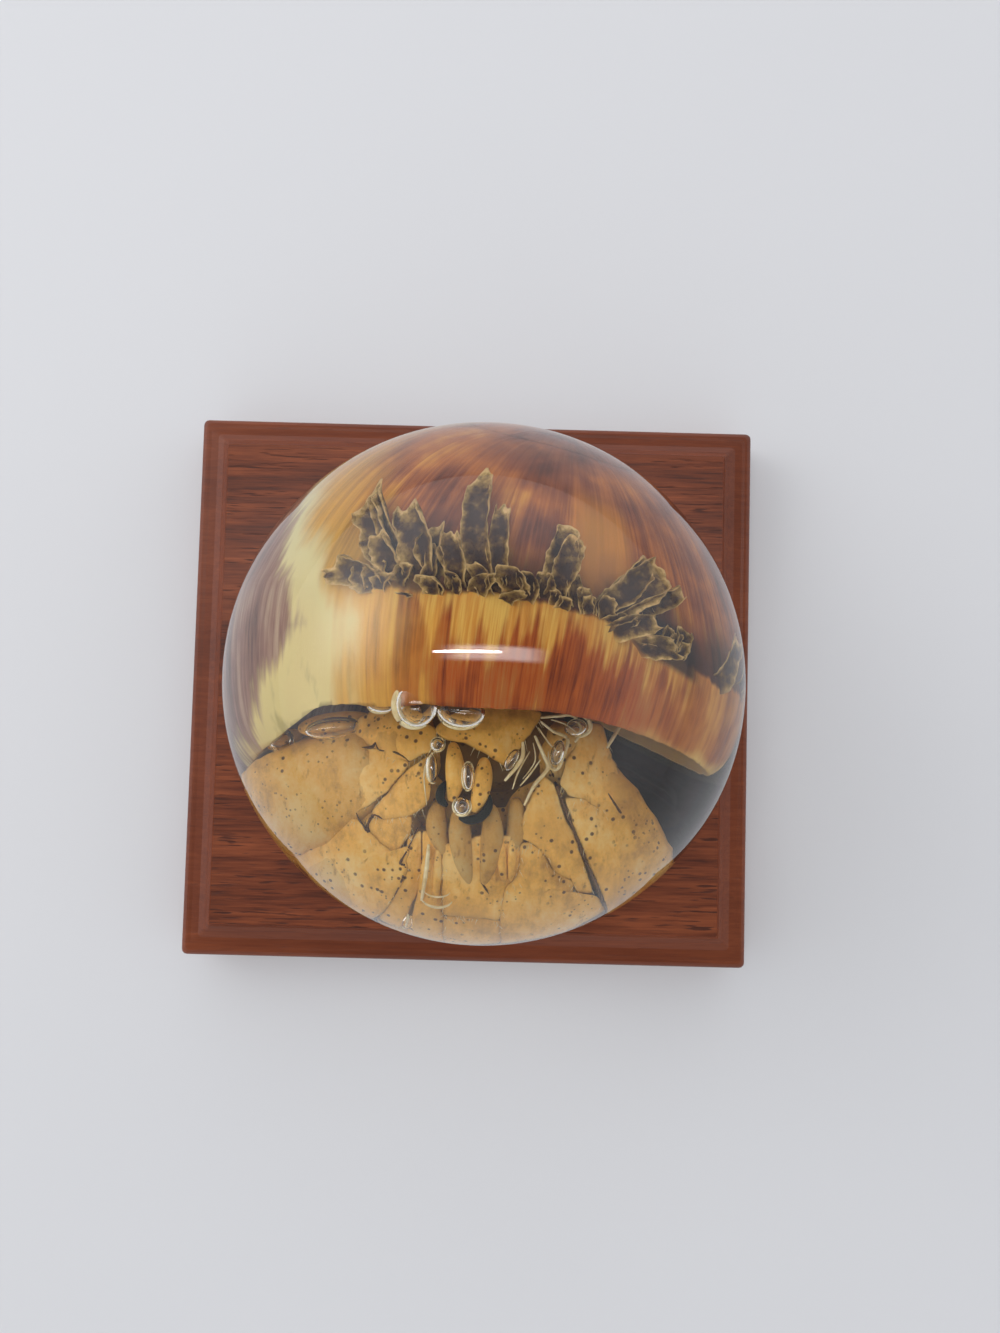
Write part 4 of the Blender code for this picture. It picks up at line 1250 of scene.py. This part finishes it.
class PAPERWEIGHT_OT_crab(bpy.types.Operator):
    """Make the dried crab: plates, legs, claws, mouthparts and eyes"""

    bl_idname = "paperweight.crab"
    bl_label = "Hermit crab"

    def execute(self, context):
        settings = context.scene.crab_settings
        shape = Shape("tone")
        for middle, radii in TRUNK:
            ellipsoid(shape, middle, radii, tone=0.1)
        for joints in LIMBS:
            limb(shape, joints, tone=0.85, lumps=0.5)
        for seed, (outline, height, thickness, crown) in enumerate(PLATES.values()):
            plate(shape, outline, height, thickness, crown, seed * 3.7)
        for joints in MOUTHPARTS:
            bent_limb(shape, joints, tone=0.6)
        for joints in (*EYESTALKS, *PLEATS):
            bent_limb(shape, joints, tone=1.0)
        for (x, y), height, radii, turn in LUMPS:
            ellipsoid(shape, over_dome(x, y, height), radii, turn, tone=1.0)
        self.add_crease_shades(shape)
        for joints in CORNEAS:
            bent_limb(shape, joints, tone=0.0, slot=1, sides=14)
        data = shape.mesh("dried_crab")
        face_out(data)
        piece = add_piece("dried_crab", data, "dried_crab", cuticle_material(settings), cornea_material())
        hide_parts("hermit_crab")
        return {"FINISHED"}

    def add_crease_shades(self, shape):
        """Dark strands of painted shade along the creases and the join beside the right claw, half sunk in
        the skin.
        """
        top = surface_finder(shape)
        for course, thickness in CREASE_SHADE_STRANDS:
            line = [Vector((x, y, top(x, y))) for x, y in smooth_line(course)]
            radii = [thickness / 2 * share * (1.0 + 0.5 * noise.noise(place * 1.9))
                     for share, place in zip(swelling(len(line), 0.08), line)]
            tube(shape, line, radii, tone=0.0)
        line = [Vector((x, y, top(x, y) - 0.15)) for x, y in smooth_line(RIGHT_SEAM_SHADE, steps=14)]
        radii = [0.22 + 0.16 * noise.noise(place * 1.4) + 0.16 * noise.noise(place * 4.7) for place in line]
        tube(shape, line, radii, tone=0.05)


class PAPERWEIGHT_OT_bristles(bpy.types.Operator):
    """Make the feelers, the pale strands, the painted highlights round the bubbles and the short bristles of
    the crab
    """

    bl_idname = "paperweight.bristles"
    bl_label = "Feelers and bristles"

    def execute(self, context):
        shape = Shape()
        self.add_strands(shape)
        self.add_rim_highlights(shape)
        self.add_hairs(shape, context.scene.crab_settings.hair_count)
        data = shape.mesh("crab_bristles")
        face_out(data)
        add_piece("crab_bristles", data, "dried_crab", hair_material())
        return {"FINISHED"}

    def add_strands(self, shape):
        """Feelers, and the pale strands beside the eyes and the chin."""
        for course, height, thickness in STRANDS:
            line = [over_dome(x, y, height) for x, y in smooth_line(course)]
            radii = [thickness / 2 * (0.35 + 0.65 * share) for share in swelling(len(line), 0.10)]
            tube(shape, line, radii)

    def add_rim_highlights(self, shape):
        """Pale strands round the bubbles, painted highlights of their rims."""
        for (x, y), height, (rx, ry), first, last, thickness in BUBBLE_RIM_HIGHLIGHTS:
            middle = over_dome(x, y, height)
            turns = [math.radians(between(first, last, i / RIM_STEPS)) for i in range(RIM_STEPS + 1)]
            line = [middle + Vector((rx * math.cos(turn), ry * math.sin(turn), 0.0)) for turn in turns]
            tube(shape, line, [thickness / 2 * share for share in swelling(len(line), 0.06)])

    def add_hairs(self, shape, count):
        """Short bristles along the edges of all plates, which lean to the front and droop."""
        plates = list(PLATES.values())
        for index in range(count):
            outline, height, _, _ = plates[index % len(plates)]
            start = int(noise.random() * len(outline))
            end = (start + 1) % len(outline)
            corner = Vector(outline[start]).lerp(Vector(outline[end]), noise.random())
            lean = Vector((noise.random() - 0.5, -0.4 - noise.random() * 0.6, noise.random() * 0.5))
            length = 0.6 + 1.1 * noise.random()
            way = lean.normalized() * length
            droop = Vector((0.0, 0.0, -0.12 * length))
            foot = over_dome(corner.x, corner.y, height - 0.4)
            line = [foot + way * (i / 3) + droop * (i / 3) ** 2 for i in range(len(HAIR_RADII))]
            tube(shape, line, HAIR_RADII, sides=5)


class PAPERWEIGHT_OT_resin(bpy.types.Operator):
    """Cast the clear ball with its flat foot and the air bubbles at the crab"""

    bl_idname = "paperweight.resin"
    bl_label = "Resin ball"

    def execute(self, context):
        settings = context.scene.resin_settings
        shape = Shape()
        loops = []
        for radius, z in self.profile(settings.sides // 2):
            loops.append(shape.ring(Vector((0.0, 0.0, z)), Vector((radius, 0.0, 0.0)),
                                    Vector((0.0, radius, 0.0)), settings.sides))
        shape.skin(loops, caps=False)
        shape.fan(loops[0][::-1], shape.add(Vector((0.0, 0.0, (BALL_FOOT - BALL_CENTRE.z) / MM))))
        shape.fan(loops[-1], shape.add(Vector((0.0, 0.0, BALL_RADIUS / MM))))
        for (x, y), height, radii, turn in BUBBLES:
            ellipsoid(shape, over_dome(x, y, height), radii, turn, inward=True)
        data = shape.mesh("resin_ball")
        data.set_sharp_from_angle(angle=math.radians(30.0))
        piece = add_piece("resin_ball", data, "clear_resin", resin_material(settings))
        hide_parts("resin_lower", "resin_upper")
        return {"FINISHED"}

    def profile(self, rings):
        """Radius and height of each ring, from the foot's edge up to the pole."""
        radius = BALL_RADIUS / MM
        foot = (BALL_FOOT - BALL_CENTRE.z) / MM
        low = math.asin((foot + FOOT_CHAMFER) / radius)
        levels = [(radius * math.cos(low) - FOOT_CHAMFER, foot)]
        for i in range(rings):
            angle = between(low, math.pi / 2, i / rings)
            levels.append((radius * math.cos(angle), radius * math.sin(angle)))
        return levels


def add_light(name, power, size, place, target, soft_edge):
    """A rectangular light that fades towards its edges, over a share of its half size."""
    light = bpy.data.lights.new(name, "AREA")
    light.shape = "RECTANGLE"
    light.energy = power
    light.size, light.size_y = size
    light.use_nodes = True
    nodes = Nodes(light.node_tree)
    spot = nodes.node("ShaderNodeNewGeometry", output=5)
    strength = 1.0
    for axis in "XY":
        strength = nodes.split(spot, axis).near(0.5, 0.5 - soft_edge / 2, 0.5) * strength
    nodes.feed(light.node_tree.nodes["Emission"].inputs["Strength"], strength)
    lamp = add_object(name, light)
    lamp.location = place
    lamp.rotation_euler = (Vector(target) - Vector(place)).to_track_quat("-Z", "Y").to_euler()


class PAPERWEIGHT_OT_stage(bpy.types.Operator):
    """Set the pale table, the soft lights and the camera"""

    bl_idname = "paperweight.stage"
    bl_label = "Table, lights and camera"

    def execute(self, context):
        settings = context.scene.stage_settings
        self.make_table(settings)
        self.make_lights(settings)
        self.make_camera(context)
        context.scene.view_settings.view_transform = "Standard"
        return {"FINISHED"}

    def make_table(self, settings):
        data = bpy.data.meshes.new("table_top")
        corners = [(x * TABLE_HALF, y * TABLE_HALF, 0.0) for x, y in ((-1, -1), (1, -1), (1, 1), (-1, 1))]
        data.from_pydata(corners, [], [(0, 1, 2, 3)])
        shader = Shader("table_top", roughness=0.6)
        cloud = shader.noise(shader.place(), scale=14.0, detail=2.0)
        pale = settings.floor_colour
        shader.colour(shader.mix(cloud * 0.25, pale, [part * 0.93 for part in pale]))
        data.materials.append(shader.material)
        add_object("table_top", data)

    def make_lights(self, settings):
        world = bpy.data.worlds.new("room")
        bpy.context.scene.world = world
        world.use_nodes = True
        nodes = Nodes(world.node_tree)
        # The room is dark overhead, bright at its walls and brightest towards the upper left
        way = nodes.node("ShaderNodeTexCoord", output=0)
        side = nodes.node("ShaderNodeVectorMath", {"operation": "DOT_PRODUCT"}, {0: way, 1: BRIGHT_SIDE},
                          output=1)
        up = nodes.split(way, "Z")
        walls = (1.0 - up.step(0.35, 0.95)) * (up.step(-0.05, 0.35) * 0.35 + 0.65)
        background = world.node_tree.nodes["Background"]
        background.inputs["Color"].default_value = (0.93, 0.95, 1.0, 1.0)
        nodes.feed(background.inputs["Strength"], (walls * (side * 0.35 + 0.85) + 0.15) * settings.sky)
        add_light("soft_lamp", settings.lamp, size=(1.2, 1.2), place=(-0.95, 0.40, 0.78),
                  target=(0.0, 0.0, 0.02), soft_edge=1.0)
        # The long thin lamp overhead, whose reflection is the bright line on the ball
        add_light("strip_lamp", settings.strip, size=(0.62, 0.022), place=(-0.14, 0.21, 1.25),
                  target=(-0.14, 0.0, 0.06), soft_edge=0.2)
        add_light("strip_glow", settings.glow, size=(1.10, 0.17), place=(0.10, 0.21, 1.30),
                  target=(0.10, 0.0, 0.06), soft_edge=0.6)

    def make_camera(self, context):
        forward = CAMERA_FORWARD.normalized()
        right = forward.cross(CAMERA_UP).normalized()
        up = right.cross(forward)
        data = bpy.data.cameras.new("camera")
        data.sensor_width = SENSOR_WIDTH
        # The sensor's width lies along the picture's longer side, its height, so
        # this focal length is as long as the picture is wide
        data.lens = SENSOR_WIDTH * IMAGE_WIDTH / IMAGE_HEIGHT
        data.clip_start = 0.01
        camera = add_object("camera", data)
        pose = Matrix((right, up, -forward)).transposed().to_4x4()
        pose.translation = CAMERA_PLACE
        camera.matrix_world = pose
        context.scene.camera = camera


class PAPERWEIGHT_PT_panel(bpy.types.Panel):
    bl_label = "Paperweight"
    bl_idname = "PAPERWEIGHT_PT_panel"
    bl_space_type = "VIEW_3D"
    bl_region_type = "UI"
    bl_category = "Paperweight"

    def draw(self, context):
        for label, group, operators in SECTIONS:
            box = self.layout.box()
            box.label(text=label)
            settings = getattr(context.scene, group)
            for name in settings.__annotations__:
                box.prop(settings, name)
            for operator in operators:
                box.operator(operator.bl_idname)


SECTIONS = (
    ("Plinth", "plinth_settings", (PAPERWEIGHT_OT_plinth,)),
    ("Shell", "shell_settings", (PAPERWEIGHT_OT_shell,)),
    ("Crab", "crab_settings", (PAPERWEIGHT_OT_crab, PAPERWEIGHT_OT_bristles)),
    ("Resin", "resin_settings", (PAPERWEIGHT_OT_resin,)),
    ("Stage", "stage_settings", (PAPERWEIGHT_OT_stage,)),
)
GROUPS = {
    "plinth_settings": PlinthSettings,
    "shell_settings": ShellSettings,
    "crab_settings": CrabSettings,
    "resin_settings": ResinSettings,
    "stage_settings": StageSettings,
}
OPERATORS = [operator for section in SECTIONS for operator in section[2]]
CLASSES = (*GROUPS.values(), *OPERATORS, PAPERWEIGHT_PT_panel)


def register():
    for item in CLASSES:
        bpy.utils.register_class(item)
    for name, group in GROUPS.items():
        setattr(bpy.types.Scene, name, PointerProperty(type=group))


def unregister():
    for name in GROUPS:
        delattr(bpy.types.Scene, name)
    for item in reversed(CLASSES):
        bpy.utils.unregister_class(item)


def main():
    register()
    noise.seed_set(NOISE_SEED)
    bpy.ops.paperweight.plinth()
    bpy.ops.paperweight.shell()
    bpy.ops.paperweight.crab()
    bpy.ops.paperweight.bristles()
    bpy.ops.paperweight.resin()
    bpy.ops.paperweight.stage()


if __name__ == "__main__":
    main()
